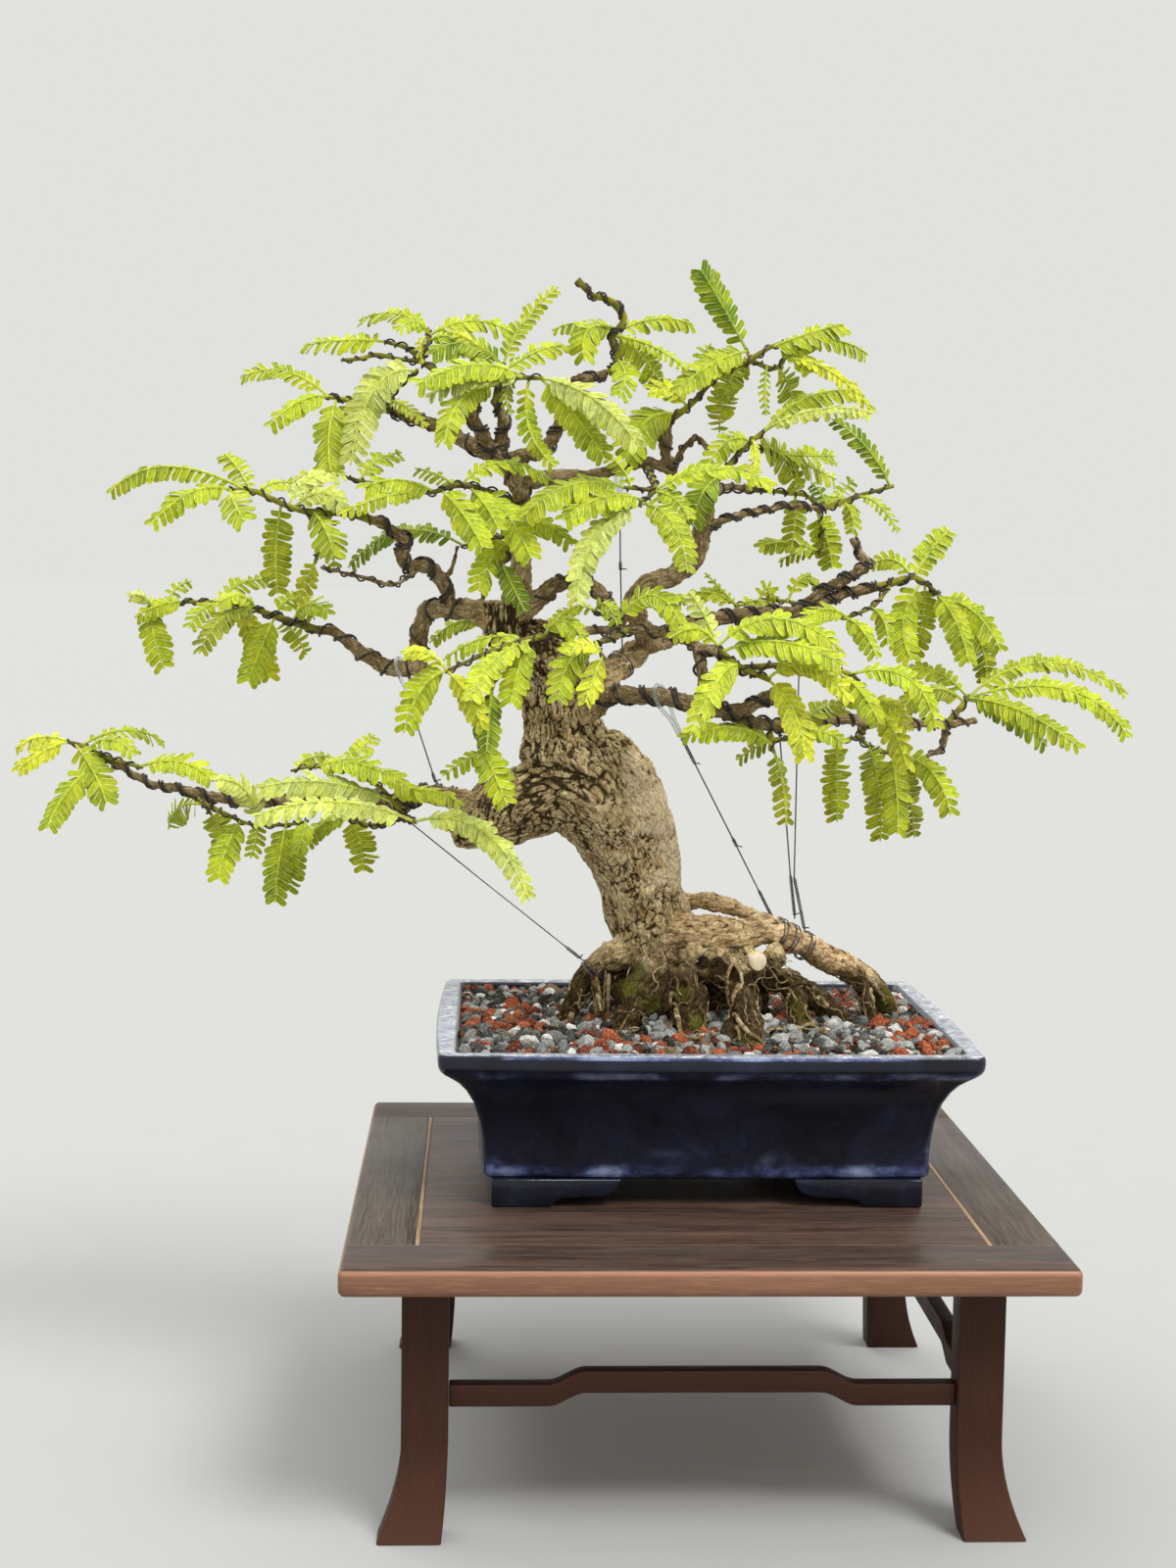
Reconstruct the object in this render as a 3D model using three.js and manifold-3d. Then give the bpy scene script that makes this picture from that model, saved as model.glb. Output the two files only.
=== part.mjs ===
// A tamarind bonsai with wired branches, in a glazed pot on a low wooden stand.
// Millimetres, +Z up. Everything is placed from the middle of the stand, at floor level. At the end
// the whole group is moved sideways, so that its origin is the bottom centre of its bounding box.

import * as THREE from 'three';
import { mergeVertices } from 'three/addons/utils/BufferGeometryUtils.js';
import Module from 'manifold-3d';

const wasm = await Module();
wasm.setup();

// Driving dimensions
const GAP = 0.3; // between pieces that touch
const SMALLEST = 0.01; // what is smaller than this is evened out after a cut or join
const CRUMB = 1.5; // mm3, the largest loose bit that a cut may drop

const TOP = { width: 336, depth: 320, thick: 13, z: 136.3, round: 3.2, corner: 2 };
const BOARD = { front: 38, side: 33 };
const INLAY = { width: 1.8, depth: 3 };
const LEG = {
  outer: 140.5, inner: 118.8, front: 130, back: 112.5, kick: 10.8, kickForward: 9.7, heel: 2.6,
  kickHeight: 46, chamfer: 1,
};
const RAIL = { low: 60.4, high: 71, step: 6.4, thick: 8, rampOuter: 72.5, rampInner: 55, y: 122, x: 129.6 };

const POT = { x: 7, y: 23, width: 271, depth: 209, rim: 216, floor: 157, base: 149.4, lip: 12.5, bow: 2.5 };
const FOOT = {
  front: 62, side: 50, flat: 29, width: 11, halfWidth: 106.5, halfDepth: 84, arch: 4.2, archRise: 0.6, end: 9,
};
const DRAIN = { radius: 11, apart: 50 };
const SCREEN = { size: 34, thick: 0.8, hole: 9, pitch: 14 };
const SOIL = { edge: 211, mound: 12, reachX: 58, reachY: 48, grain: 16, sway: 8, rough: 4, even: 0.25 };

const LEAF = {
  thick: 1.2, rib: 0.6, halfWidth: 8.5, widthShare: 0.16, widthBase: 2.2,
  stalk: 0.14, pairPitch: 19, fewestPairs: 2, sweep: 0.85, droop: 0.22,
  swell: { from: 0.2, over: 0.62, power: 0.7 }, inset: 1.5, even: 0.06,
  folded: { share: 0.72, below: 35, openFrom: 80 }, // how narrow a leaf is whose upper face looks at the sky
};
const WIRE = { radius: 1, sides: 3, perTurn: 5, frames: 240 };
const WOOD = {
  trunkSides: 12, burlSides: 9, limbSides: 6, twigSides: 4, rootletSides: 4, shootSides: 3,
  thickFrom: 5, smooth: 0.2,
};
const GUY = { radius: 0.6, sides: 6, twist: 1.8, sleeveRadius: 2, sleeveFrom: 6, sleeveTo: 22 };

// Trunk, branches and leaves are placed as a viewer at EYE sees them: x and z are read where the line of
// sight crosses an upright plane, and the third number is how far the point lies behind that plane.
const EYE = new THREE.Vector3(-103.9, -1119.5, 442.8);
function seen(x, z, behind, plane = POT.y) {
  const reach = (plane + behind - EYE.y) / (plane - EYE.y);
  return new THREE.Vector3(EYE.x + (x - EYE.x) * reach, plane + behind, EYE.z + (z - EYE.z) * reach);
}

// Materials
function finish(color, roughness, metalness = 0) {
  return new THREE.MeshStandardMaterial({ color, roughness, metalness, flatShading: true });
}
const rosewood = finish(0x4a2c26, 0.45);
const inlayWood = finish(0xb98a5a, 0.5);
const glaze = finish(0x171c38, 0.15);
const gravel = finish(0x77746f, 0.95);
const plasticNet = finish(0x2c2c2c, 0.7);
const bark = finish(0x6b5540, 0.9);
const leaf = finish(0x9cc044, 0.6);
const blackWire = finish(0x24211f, 0.45, 0.6);
const guyWire = finish(0x5d5d5d, 0.4, 0.8);
const clearTube = finish(0xc9ced2, 0.2);

// Solids
function solid(geometry) {
  const bare = geometry.index ? geometry.clone() : geometry;
  bare.deleteAttribute('normal');
  bare.deleteAttribute('uv');
  const merged = mergeVertices(bare, 1e-4);
  return new wasm.Manifold(new wasm.Mesh({
    numProp: 3,
    vertProperties: new Float32Array(merged.attributes.position.array),
    triVerts: new Uint32Array(merged.index.array),
  }));
}

function join(solids) {
  return wasm.Manifold.union(solids);
}

// A cut can leave loose crumbs, which are dropped.
function withoutCrumbs(body) {
  return join(body.decompose().filter((part) => part.volume() > CRUMB));
}

const root = new THREE.Group();
function place(name, body, material) {
  const data = withoutCrumbs(body).simplify(SMALLEST).getMesh();
  const geometry = new THREE.BufferGeometry();
  geometry.setAttribute('position', new THREE.BufferAttribute(new Float32Array(data.vertProperties), 3));
  geometry.setIndex(new THREE.BufferAttribute(new Uint32Array(data.triVerts), 1));
  geometry.computeVertexNormals();
  const piece = new THREE.Mesh(geometry, material);
  piece.name = name;
  root.add(piece);
}

function box(x0, x1, y0, y1, z0, z1) {
  const geometry = new THREE.BoxGeometry(x1 - x0, y1 - y0, z1 - z0);
  geometry.translate((x0 + x1) / 2, (y0 + y1) / 2, (z0 + z1) / 2);
  return solid(geometry);
}

// Joins rings of equally many points into one closed skin. Seen from the last ring, each ring runs
// counterclockwise.
function skin(rings) {
  const count = rings[0].length;
  const positions = rings.flat().flatMap((p) => p.toArray());
  const faces = [];
  for (let r = 0; r + 1 < rings.length; r++) {
    for (let j = 0; j < count; j++) {
      const a = r * count + j;
      const b = r * count + (j + 1) % count;
      faces.push(a, b, b + count, a, b + count, a + count);
    }
  }
  const last = (rings.length - 1) * count;
  for (let j = 1; j + 1 < count; j++) {
    faces.push(0, j + 1, j);
    faces.push(last, last + j, last + j + 1);
  }
  const geometry = new THREE.BufferGeometry();
  geometry.setAttribute('position', new THREE.Float32BufferAttribute(positions, 3));
  geometry.setIndex(faces);
  return solid(geometry);
}

// The radius between two stops, where `spot` 2.5 is half way from stop 2 to stop 3
function radiusAt(stops, spot) {
  const k = Math.min(Math.floor(spot), stops.length - 2);
  return THREE.MathUtils.lerp(stops[k].r, stops[k + 1].r, spot - k);
}

// A tapering limb along a smooth curve through its stops, each a point and a radius, with one ring for each
// stop. `grow` makes the same limb thicker all over.
function limb(stops, sides, grow = 0) {
  const curve = new THREE.CatmullRomCurve3(stops.map((s) => s.point), false, 'centripetal');
  const steps = stops.length - 1;
  const frames = curve.computeFrenetFrames(steps, false);
  const rings = [];
  for (let i = 0; i <= steps; i++) {
    const t = i / steps;
    const centre = curve.getPoint(t);
    const tangent = curve.getTangent(t);
    if (i === 0) centre.addScaledVector(tangent, -grow);
    if (i === steps) centre.addScaledVector(tangent, grow);
    const radius = stops[i].r + grow;
    const normal = frames.normals[i].clone();
    normal.addScaledVector(tangent, -normal.dot(tangent)).normalize();
    const across = new THREE.Vector3().crossVectors(tangent, normal);
    const ring = [];
    for (let j = 0; j < sides; j++) {
      const angle = (j / sides) * 2 * Math.PI;
      ring.push(centre.clone()
        .addScaledVector(normal, radius * Math.cos(angle))
        .addScaledVector(across, radius * Math.sin(angle)));
    }
    rings.push(ring);
  }
  return skin(rings);
}

function seenStops(list, plane) {
  return list.map(([x, z, behind, r]) => ({ point: seen(x, z, behind, plane), r }));
}

// Stand: top boards
function standTop() {
  const { width, depth, thick, z, round, corner } = TOP;
  const outline = new THREE.Shape();
  const halfW = width / 2 - round;
  const halfD = depth / 2 - round;
  outline.moveTo(-halfW + corner, -halfD);
  outline.lineTo(halfW - corner, -halfD);
  outline.absarc(halfW - corner, -halfD + corner, corner, -Math.PI / 2, 0);
  outline.lineTo(halfW, halfD - corner);
  outline.absarc(halfW - corner, halfD - corner, corner, 0, Math.PI / 2);
  outline.lineTo(-halfW + corner, halfD);
  outline.absarc(-halfW + corner, halfD - corner, corner, Math.PI / 2, Math.PI);
  outline.lineTo(-halfW, -halfD + corner);
  outline.absarc(-halfW + corner, -halfD + corner, corner, Math.PI, 1.5 * Math.PI);
  const slab = new THREE.ExtrudeGeometry(outline, {
    depth: thick - 2 * round,
    bevelThickness: round,
    bevelSize: round,
    bevelSegments: 2,
    curveSegments: 2,
  });
  slab.translate(0, 0, z - thick + round);
  const top = solid(slab);

  const low = z - thick - 1;
  const high = z + 1;
  const frontEdge = depth / 2 - BOARD.front;
  const sideEdge = width / 2 - BOARD.side;
  const inlayEdge = sideEdge - GAP - INLAY.width;
  const half = GAP / 2;
  const frontBoard = box(-width, width, -depth, -frontEdge - half, low, high);
  const backBoard = box(-width, width, frontEdge + half, depth, low, high);
  place('stand_board_front', top.intersect(frontBoard), rosewood);
  place('stand_board_back', top.intersect(backBoard), rosewood);
  const inlayFloor = z - INLAY.depth;
  const inlayReach = frontEdge - half;
  for (const [side, sign] of [['left', -1], ['right', 1]]) {
    const far = sign * width;
    const edge = sign * sideEdge;
    const board = box(Math.min(edge, far), Math.max(edge, far), -inlayReach, inlayReach, low, high);
    place('stand_board_' + side, top.intersect(board), rosewood);
    const inner = sign * (sideEdge - GAP - INLAY.width);
    const outer = sign * (sideEdge - GAP);
    const [west, east] = [Math.min(inner, outer), Math.max(inner, outer)];
    const strip = box(west, east, -inlayReach, inlayReach, inlayFloor + GAP, z);
    place('stand_inlay_' + side, strip, inlayWood);
  }
  // The panel reaches under the inlay strips as a thin tongue.
  const panelEdge = inlayEdge - GAP;
  const tongueEdge = sideEdge - GAP;
  const panelTop = box(-panelEdge, panelEdge, -inlayReach, inlayReach, z - thick, z);
  const tongue = box(-tongueEdge, tongueEdge, -inlayReach, inlayReach, z - thick, inlayFloor);
  place('stand_panel', panelTop.add(tongue), rosewood);
}

// Stand: legs whose feet kick outwards
function leg(signX, signY) {
  const rings = [];
  const heights = [0, 6, 12, 18, 25, 33, LEG.kickHeight, TOP.z - TOP.thick - GAP];
  const { chamfer } = LEG;
  for (const z of heights) {
    const bend = Math.max(0, (LEG.kickHeight - z) / LEG.kickHeight) ** 2;
    const x0 = LEG.inner + LEG.heel * bend;
    const x1 = LEG.outer + LEG.kick * bend;
    const y0 = LEG.back + LEG.kickForward * bend;
    const y1 = LEG.front + LEG.kickForward * bend;
    const corners = [
      [x0, y0], [x1 - chamfer, y0], [x1, y0 + chamfer], [x1, y1 - chamfer],
      [x1 - chamfer, y1], [x0 + chamfer, y1], [x0, y1 - chamfer],
    ];
    if (signX * signY < 0) corners.reverse();
    rings.push(corners.map(([x, y]) => new THREE.Vector3(signX * x, signY * y, z)));
  }
  return skin(rings);
}

// Stand: stretchers, each stepped up in the middle
function stretcher(halfLength) {
  const { low, high, step, rampOuter, rampInner, thick } = RAIL;
  const half = halfLength - GAP;
  const edge = [
    [-half, 0], [-rampOuter, 0], [-rampInner, step], [rampInner, step], [rampOuter, 0], [half, 0],
  ];
  const outline = new THREE.Shape();
  for (const [x, lift] of edge) {
    if (x === -half) outline.moveTo(x, low);
    else outline.lineTo(x, low + lift);
  }
  for (const [x, lift] of edge.toReversed()) outline.lineTo(x, high + lift);
  const geometry = new THREE.ExtrudeGeometry(outline, { depth: thick, bevelEnabled: false });
  geometry.translate(0, 0, -thick / 2);
  geometry.rotateX(Math.PI / 2);
  return geometry;
}

function stand() {
  standTop();
  for (const [end, signY] of [['front', -1], ['back', 1]]) {
    for (const [side, signX] of [['left', -1], ['right', 1]]) {
      place(`stand_leg_${end}_${side}`, leg(signX, signY), rosewood);
    }
    const rail = stretcher(LEG.inner);
    rail.translate(0, signY * RAIL.y, 0);
    place('stand_stretcher_' + end, solid(rail), rosewood);
  }
  for (const [side, signX] of [['left', -1], ['right', 1]]) {
    const rail = stretcher(LEG.back);
    rail.rotateZ(Math.PI / 2);
    rail.translate(signX * RAIL.x, 0, 0);
    place('stand_stretcher_' + side, solid(rail), rosewood);
  }
}

// Pot: a rectangle with rounded corners and sides that bow out a little
function potRing(inset, z, corner, bowed = POT.bow) {
  const halfW = POT.width / 2 - inset - bowed;
  const halfD = POT.depth / 2 - inset - bowed;
  const ring = [];
  const corners = [[1, 1, 0], [-1, 1, 90], [-1, -1, 180], [1, -1, 270]];
  for (const [sx, sy, start] of corners) {
    for (const turn of [0, 45, 90]) {
      const angle = THREE.MathUtils.degToRad(start + turn);
      const middle = [sx * (halfW - corner), sy * (halfD - corner)];
      ring.push([middle[0] + corner * Math.cos(angle), middle[1] + corner * Math.sin(angle)]);
    }
    const midway = sx * sy > 0 ? [0, sy * (halfD + bowed)] : [sx * (halfW + bowed), 0];
    ring.push(midway);
  }
  return ring.map(([x, y]) => new THREE.Vector3(POT.x + x, POT.y + y, z));
}

// A corner foot: a bracket along each of the two sides, cut up in steps towards the middle
function footProfile(length) {
  const rise = POT.base + 1;
  const bottom = TOP.z + GAP;
  const shape = new THREE.Shape();
  shape.moveTo(0, bottom);
  shape.lineTo(FOOT.flat, bottom);
  const high = bottom + FOOT.arch;
  shape.quadraticCurveTo(FOOT.flat + 3, high, FOOT.flat + 7, high);
  shape.lineTo(length - 12, high + FOOT.archRise);
  shape.quadraticCurveTo(length - 3, high + FOOT.archRise, length, bottom + FOOT.end);
  shape.lineTo(length + 2, rise);
  shape.lineTo(0, rise);
  return shape;
}

function potFoot(signX, signY) {
  const brackets = [];
  for (const [length, alongX] of [[FOOT.front, true], [FOOT.side, false]]) {
    const geometry = new THREE.ExtrudeGeometry(footProfile(length), {
      depth: FOOT.width, bevelEnabled: false, curveSegments: 2,
    });
    // The profile runs from the corner towards the middle, upright, with its outer face outwards.
    geometry.rotateX(Math.PI / 2);
    geometry.translate(0, FOOT.width, 0);
    if (!alongX) {
      geometry.rotateZ(Math.PI / 2);
      geometry.translate(FOOT.width, 0, 0);
    }
    brackets.push(solid(geometry));
  }
  const corner = join(brackets).translate([-FOOT.halfWidth, -FOOT.halfDepth, 0]);
  const turned = corner.scale([-signX, -signY, 1]);
  return turned.translate([POT.x, POT.y, 0]);
}

function pot() {
  const outside = [
    [22.5, POT.base, 4], [21.8, 166, 4], [20, 179, 4], [17.3, 189, 4], [11, 198.5, 5], [7, 202, 5],
    [3.2, 205, 5], [0.6, 207.6, 5], [0, 209.5, 5], [0, 214.6, 5], [1.6, POT.rim, 4],
  ];
  const inside = [
    [31.5, POT.floor, 4], [28, 184, 4], [22, 197, 4], [15.5, 206, 4], [13.4, 213.6, 4],
    [POT.lip - 3, POT.rim + 2, 4],
  ];
  let body = skin(outside.map(([inset, z, corner]) => potRing(inset, z, corner)));
  for (const signX of [-1, 1]) for (const signY of [-1, 1]) body = body.add(potFoot(signX, signY));
  body = body.subtract(skin(inside.map(([inset, z, corner]) => potRing(inset, z, corner, 0))));
  for (const sign of [-1, 1]) {
    const drill = new THREE.CylinderGeometry(DRAIN.radius, DRAIN.radius, 20, 16);
    drill.rotateX(Math.PI / 2);
    drill.translate(POT.x + sign * DRAIN.apart, POT.y, POT.floor - 4);
    body = body.subtract(solid(drill));
  }
  place('pot', body, glaze);
}

// Drainage screens: a square of coarse net over each drain hole
function screenBody(x, grow) {
  const half = SCREEN.size / 2 + grow;
  const low = POT.floor + GAP - grow;
  return box(x - half, x + half, POT.y - half, POT.y + half, low, low + SCREEN.thick + 2 * grow);
}

function drainScreens() {
  for (const [side, sign] of [['left', -1], ['right', 1]]) {
    const x = POT.x + sign * DRAIN.apart;
    let net = screenBody(x, 0);
    for (const i of [-0.5, 0.5]) {
      for (const j of [-0.5, 0.5]) {
        const holeX = x + i * SCREEN.pitch;
        const holeY = POT.y + j * SCREEN.pitch;
        const half = SCREEN.hole / 2;
        const top = POT.floor + GAP + 2 * SCREEN.thick;
        net = net.subtract(box(holeX - half, holeX + half, holeY - half, holeY + half, POT.floor, top));
      }
    }
    place('drain_screen_' + side, net, plasticNet);
  }
}

// Soil: gravel heaped towards the trunk, its grains a seeded unevenness of the surface
function soilHeight(x, y) {
  const mound = Math.exp(-(((x - POT.x) / SOIL.reachX) ** 2) - ((y - POT.y) / SOIL.reachY) ** 2);
  return SOIL.edge + SOIL.mound * mound;
}

let seed = 7;
function random() {
  seed = (seed * 16807) % 2147483647;
  return seed / 2147483647;
}

function soil(roots) {
  const inside = [
    [31.5, POT.floor + GAP, 4], [28, 184, 4], [22, 197, 4], [15.5, 206, 4],
    [13.4, 213.6, 4], [13.4, 240, 4],
  ];
  const fill = skin(inside.map(([inset, z, corner]) => potRing(inset + GAP, z, corner, 0)));
  const halfW = POT.width / 2;
  const halfD = POT.depth / 2;
  const columns = Math.round(POT.width / SOIL.grain);
  const rows = Math.round(POT.depth / SOIL.grain);
  const block = new THREE.BoxGeometry(POT.width, POT.depth, 1, columns, rows, 1);
  const points = block.attributes.position;
  const bumps = new Map();
  for (let i = 0; i < points.count; i++) {
    const x = POT.x + points.getX(i);
    const y = POT.y + points.getY(i);
    if (points.getZ(i) < 0) {
      points.setXYZ(i, x, y, POT.floor - 10);
      continue;
    }
    const key = `${Math.round(x * 10)},${Math.round(y * 10)}`;
    if (!bumps.has(key)) bumps.set(key, [random() - 0.5, random() - 0.5, random() - 0.5]);
    const onEdge = Math.abs(points.getX(i)) > halfW - 1 || Math.abs(points.getY(i)) > halfD - 1;
    const [dx, dy, dz] = bumps.get(key);
    const sway = onEdge ? 0 : SOIL.sway;
    points.setXYZ(i, x + dx * sway, y + dy * sway, soilHeight(x, y) + dz * SOIL.rough);
  }
  let body = fill.intersect(solid(block)).simplify(SOIL.even).subtract(roots);
  for (const sign of [-1, 1]) body = body.subtract(screenBody(POT.x + sign * DRAIN.apart, GAP));
  place('soil', body, gravel);
}

// Trunk: x, z, depth, radius, from the roots up over the knee to the flat-topped stub of the old trunk
const TRUNK = [
  [-14, 216, 3, 20], [-14, 238, 3, 21], [-15.5, 255, 0, 20], [-18.5, 268, 0, 21], [-22.5, 284, 0, 22],
  [-26.5, 300, 0, 24], [-32.5, 316, 0, 27], [-41.5, 330, 0, 29], [-53, 343, 0, 29], [-62, 355, 0, 25],
  [-65, 368, 0, 20.5], [-66, 380, 0, 19.5], [-70, 394, 0, 19.5], [-79, 405, 0, 18], [-89, 413, 0, 14.5],
  [-95, 420, 0, 13], [-95.5, 431, 0, 12.5],
];
const BURL = [
  [-54, 338, 0, 22], [-70, 334, 0, 19], [-86, 327, 0, 19.5], [-102, 320, -3, 18], [-115, 314, -4, 11],
  [-122, 311, -4, 7],
];

// Roots, read in the upright plane through the middle of the stand: x, z, depth, radius
const ROOTS = [
  [[-34, 226, 14, 12], [-16, 232, 8, 19], [6, 233, 6, 20], [26, 234, 6, 16], [42, 232, 8, 11]],
  [[-12, 226, 30, 16], [4, 230, 40, 16], [20, 226, 44, 12]],
  [
    [-20, 262, 22, 12], [-34, 252, 14, 9], [-46, 245, 12, 7], [-54, 236, 12, 5.5], [-60, 222, 12, 4.5],
    [-63, 208, 12, 3.5],
  ],
  [
    [-14, 263, 16, 12], [5, 264, 8, 8.5], [25, 264, 6, 7.5], [42, 265, 8, 7.5], [55, 260, 13, 7],
    [70, 252, 20, 6.5], [85, 245, 28, 6.5], [96, 238, 34, 5.5], [104, 226, 38, 4.5], [109, 214, 40, 3.5],
  ],
  [[84, 245, 28, 5], [91, 236, 26, 4], [94, 226, 24, 3.5], [96, 214, 24, 3]],
  [[-8, 278, 34, 6], [6, 280, 28, 4.5], [22, 277, 22, 4.5], [36, 271, 16, 4], [50, 262, 14, 4]],
  [
    [2, 250, 10, 13], [18, 245, 0, 10], [28, 237, -9, 8], [30, 226, -20, 7], [33, 213, -31, 6.5],
    [36, 202, -40, 5.5], [38, 192, -46, 4.5],
  ],
  [[30, 226, -20, 5.5], [25, 212, -27, 5], [21, 202, -34, 4], [19, 192, -38, 3.5]],
  [
    [12, 250, 8, 10], [28, 246, 2, 8], [41, 242, 0, 7.5], [54, 237, 4, 7], [66, 231, 9, 6.5],
    [76, 223, 14, 5.5], [84, 212, 18, 4.5], [88, 200, 20, 3.5],
  ],
  [[54, 237, 4, 6], [58, 226, -2, 6], [62, 212, -6, 5], [64, 200, -8, 4]],
  [[-18, 242, 4, 11], [-26, 228, -6, 8], [-32, 214, -12, 6], [-36, 202, -16, 4.5]],
  [[-2, 240, 6, 12], [2, 226, -8, 9], [2, 213, -18, 6.5], [3, 200, -24, 4.5]],
  [[-49, 243, 8, 1.6], [-46, 230, 0, 1.4], [-41, 214, -6, 1.4], [-40, 206, -8, 1.4]],
  [[-5, 250, 36, 11], [6, 240, 56, 8], [16, 225, 76, 6], [22, 208, 88, 4.5], [24, 200, 92, 3.5]],
  [[-20, 250, 34, 10], [-36, 238, 50, 7], [-48, 222, 62, 5], [-52, 206, 66, 4]],
  [[30, 252, 4, 6], [36, 249, -7, 4.6]],
  [[44, 254, 2, 5.5], [49, 249, -6, 5]],
  [[2, 252, 4, 6], [11, 250, -5, 5]],
];

// Branches: x, z, depth, radius
const BRANCHES = {
  lowLeft: [
    [-98, 322, -3, 9], [-110, 326, -8, 7], [-119, 329, -10, 5.5], [-135, 332, -7, 4.5],
    [-150, 326, -3, 5.5], [-165, 322, 0, 4],
    [-185, 326, 3, 3.6], [-205, 328, 0, 3.2], [-222, 326, -3, 2.8], [-240, 328, -6, 2.6],
    [-262, 333, -6, 2.2],
    [-275, 335, -3, 2], [-285, 340, 0, 1.8], [-296, 346, 0, 1.6],
  ],
  lowLeftStub: [[-155, 323, -1, 3.4], [-162, 333, -7, 2.8]],
  middleLeft: [
    [-97, 422, 0, 9], [-110, 427, 0, 6], [-122, 427, 0, 5], [-134, 427, 4, 4.5], [-139, 415, 8, 4.5],
    [-141, 399, 14, 5.5],
    [-152, 396, 20, 4.5], [-168, 404, 25, 4], [-183, 415, 29, 3], [-192, 416, 32, 2.6],
  ],
  upperLeft: [
    [-122, 427, 0, 4], [-126, 438, -3, 3.6], [-134, 449, -8, 3.6], [-146, 450, -11, 3.6],
    [-149, 456, -14, 3.4],
    [-147, 462, -17, 3.2], [-156, 469, -20, 2.8], [-163, 473, -21, 2.5],
  ],
  upperLeftTwig: [
    [-138, 450, -10, 1.6], [-152, 440, -14, 1.4], [-168, 443, -14, 1.3], [-190, 448, -11, 1.1],
  ],
  bareTwig: [[-128, 441, -4, 1.6], [-123, 448, -6, 1.3], [-120, 460, -6, 1.1]],
  leader: [
    [-90, 420, 0, 9], [-89, 433, 0, 8], [-88, 448, 0, 5.8], [-87, 468, 0, 5.2], [-88, 488, 0, 5],
    [-96, 502, 0, 5],
    [-104, 509, 0, 4.6], [-113, 511, 8, 4], [-123, 517, 14, 3.6], [-137, 523, 17, 3.2],
    [-150, 525, 20, 2.6],
  ],
  crownBack: [
    [-102, 507, 0, 4], [-108, 517, -8, 3.6], [-113, 527, -17, 3.2], [-112, 535, -21, 2.8],
    [-122, 542, -10, 2.4],
  ],
  crownMiddle: [[-99, 506, 0, 4], [-98, 515, -1, 3.2], [-97, 525, -6, 3], [-102, 535, -10, 2.6]],
  crownRight: [
    [-97, 503, 0, 4.5], [-86, 507, -4, 4], [-76, 510, -7, 3.6], [-70, 518, -8, 3.4], [-67, 527, -8, 3.2],
    [-66, 536, -7, 3], [-60, 545, -3, 2.8], [-51, 547, 0, 2.6], [-44, 549, 0, 2.4],
  ],
  across: [
    [-89, 492, 0, 4.5], [-70, 496, 6, 3.8], [-50, 497, 11, 3.4], [-22, 504, 20, 3], [-8, 499, 25, 2.6],
  ],
  acrossTwig: [[-10, 500, 24, 2.2], [-4, 512, 22, 1.8], [3, 517, 21, 1.6], [9, 510, 20, 1.3]],
  diagonal: [[-9, 499, 25, 2.8], [-13, 507, 22, 2.8], [-14, 517, 18, 3.6], [-13, 526, 17, 2.6]],
  columnRight: [
    [-92, 424, -4, 7], [-80, 431, -7, 5], [-70, 440, -8, 4.2], [-58, 443, -11, 4], [-49, 439, -14, 3.6],
    [-40, 430, -17, 3.2], [-34, 421, -20, 2.8],
  ],
  right: [
    [-66, 382, 3, 14], [-52, 389, 7, 10], [-40, 396, 13, 7.5], [-30, 404, 20, 6.5], [-20, 411, 25, 6],
    [-8, 416, 31, 5.2],
    [5, 422, 34, 4.6], [20, 425, 35, 4.2], [35, 427, 36, 4], [58, 429, 39, 3.6], [80, 438, 42, 3.2],
    [94, 441, 45, 2.8],
  ],
  rightUp: [
    [56, 428, 39, 3.4], [66, 437, 39, 3.2], [76, 443, 39, 3], [86, 449, 39, 3], [92, 453, 41, 3],
    [88, 460, 42, 2.2], [84, 467, 42, 1.8],
  ],
  climb: [
    [-18, 410, 22, 5.5], [-24, 419, 11, 5.5], [-28, 431, -1, 5.8], [-23, 441, -6, 5.4],
    [-10, 446, -7, 5], [2, 454, -7, 5],
    [6, 468, -7, 4.8], [8, 484, -4, 4.2], [11, 494, 0, 3.2],
  ],
  climbSide: [
    [5, 462, -7, 2.6], [11, 472, -7, 2.3], [22, 477, -7, 2], [36, 480, -4, 1.9], [50, 483, 0, 1.8],
    [70, 482, 7, 1.7],
  ],
  climbBack: [[9, 488, -3, 2.4], [18, 492, 17, 2.1], [33, 491, 39, 1.7]],
  frontRight: [
    [-56, 374, -11, 7], [-47, 378, -20, 5.5], [-41, 384, -29, 4.6], [-25, 384, -42, 4.2],
    [-8, 383, -50, 4.2],
    [10, 378, -56, 4], [28, 377, -59, 3.8], [45, 385, -59, 3.4], [56, 385, -56, 3],
  ],
  frontRightLow: [
    [15, 378, -57, 3.4], [34, 371, -53, 3.4], [60, 369, -36, 3.2], [80, 373, -14, 3],
    [108, 371, 11, 2.8], [126, 371, 24, 2.6],
    [138, 371, 31, 2.4], [152, 373, 38, 1.8],
  ],
  tipDrop: [[136, 371, 29, 2.2], [134, 358, 32, 1.7], [126, 354, 34, 1.4]],
  frontUp: [
    [9, 379, -56, 3.8], [8, 389, -56, 3.4], [7, 400, -53, 3.2], [4, 410, -50, 3], [-6, 415, -48, 2.8],
    [-30, 418, -42, 2.6], [-56, 417, -39, 2.2],
  ],
  frontUpRight: [[5, 408, -50, 2.8], [13, 408, -55, 2.6], [23, 401, -60, 2.4], [31, 397, -63, 2.2]],
};

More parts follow.
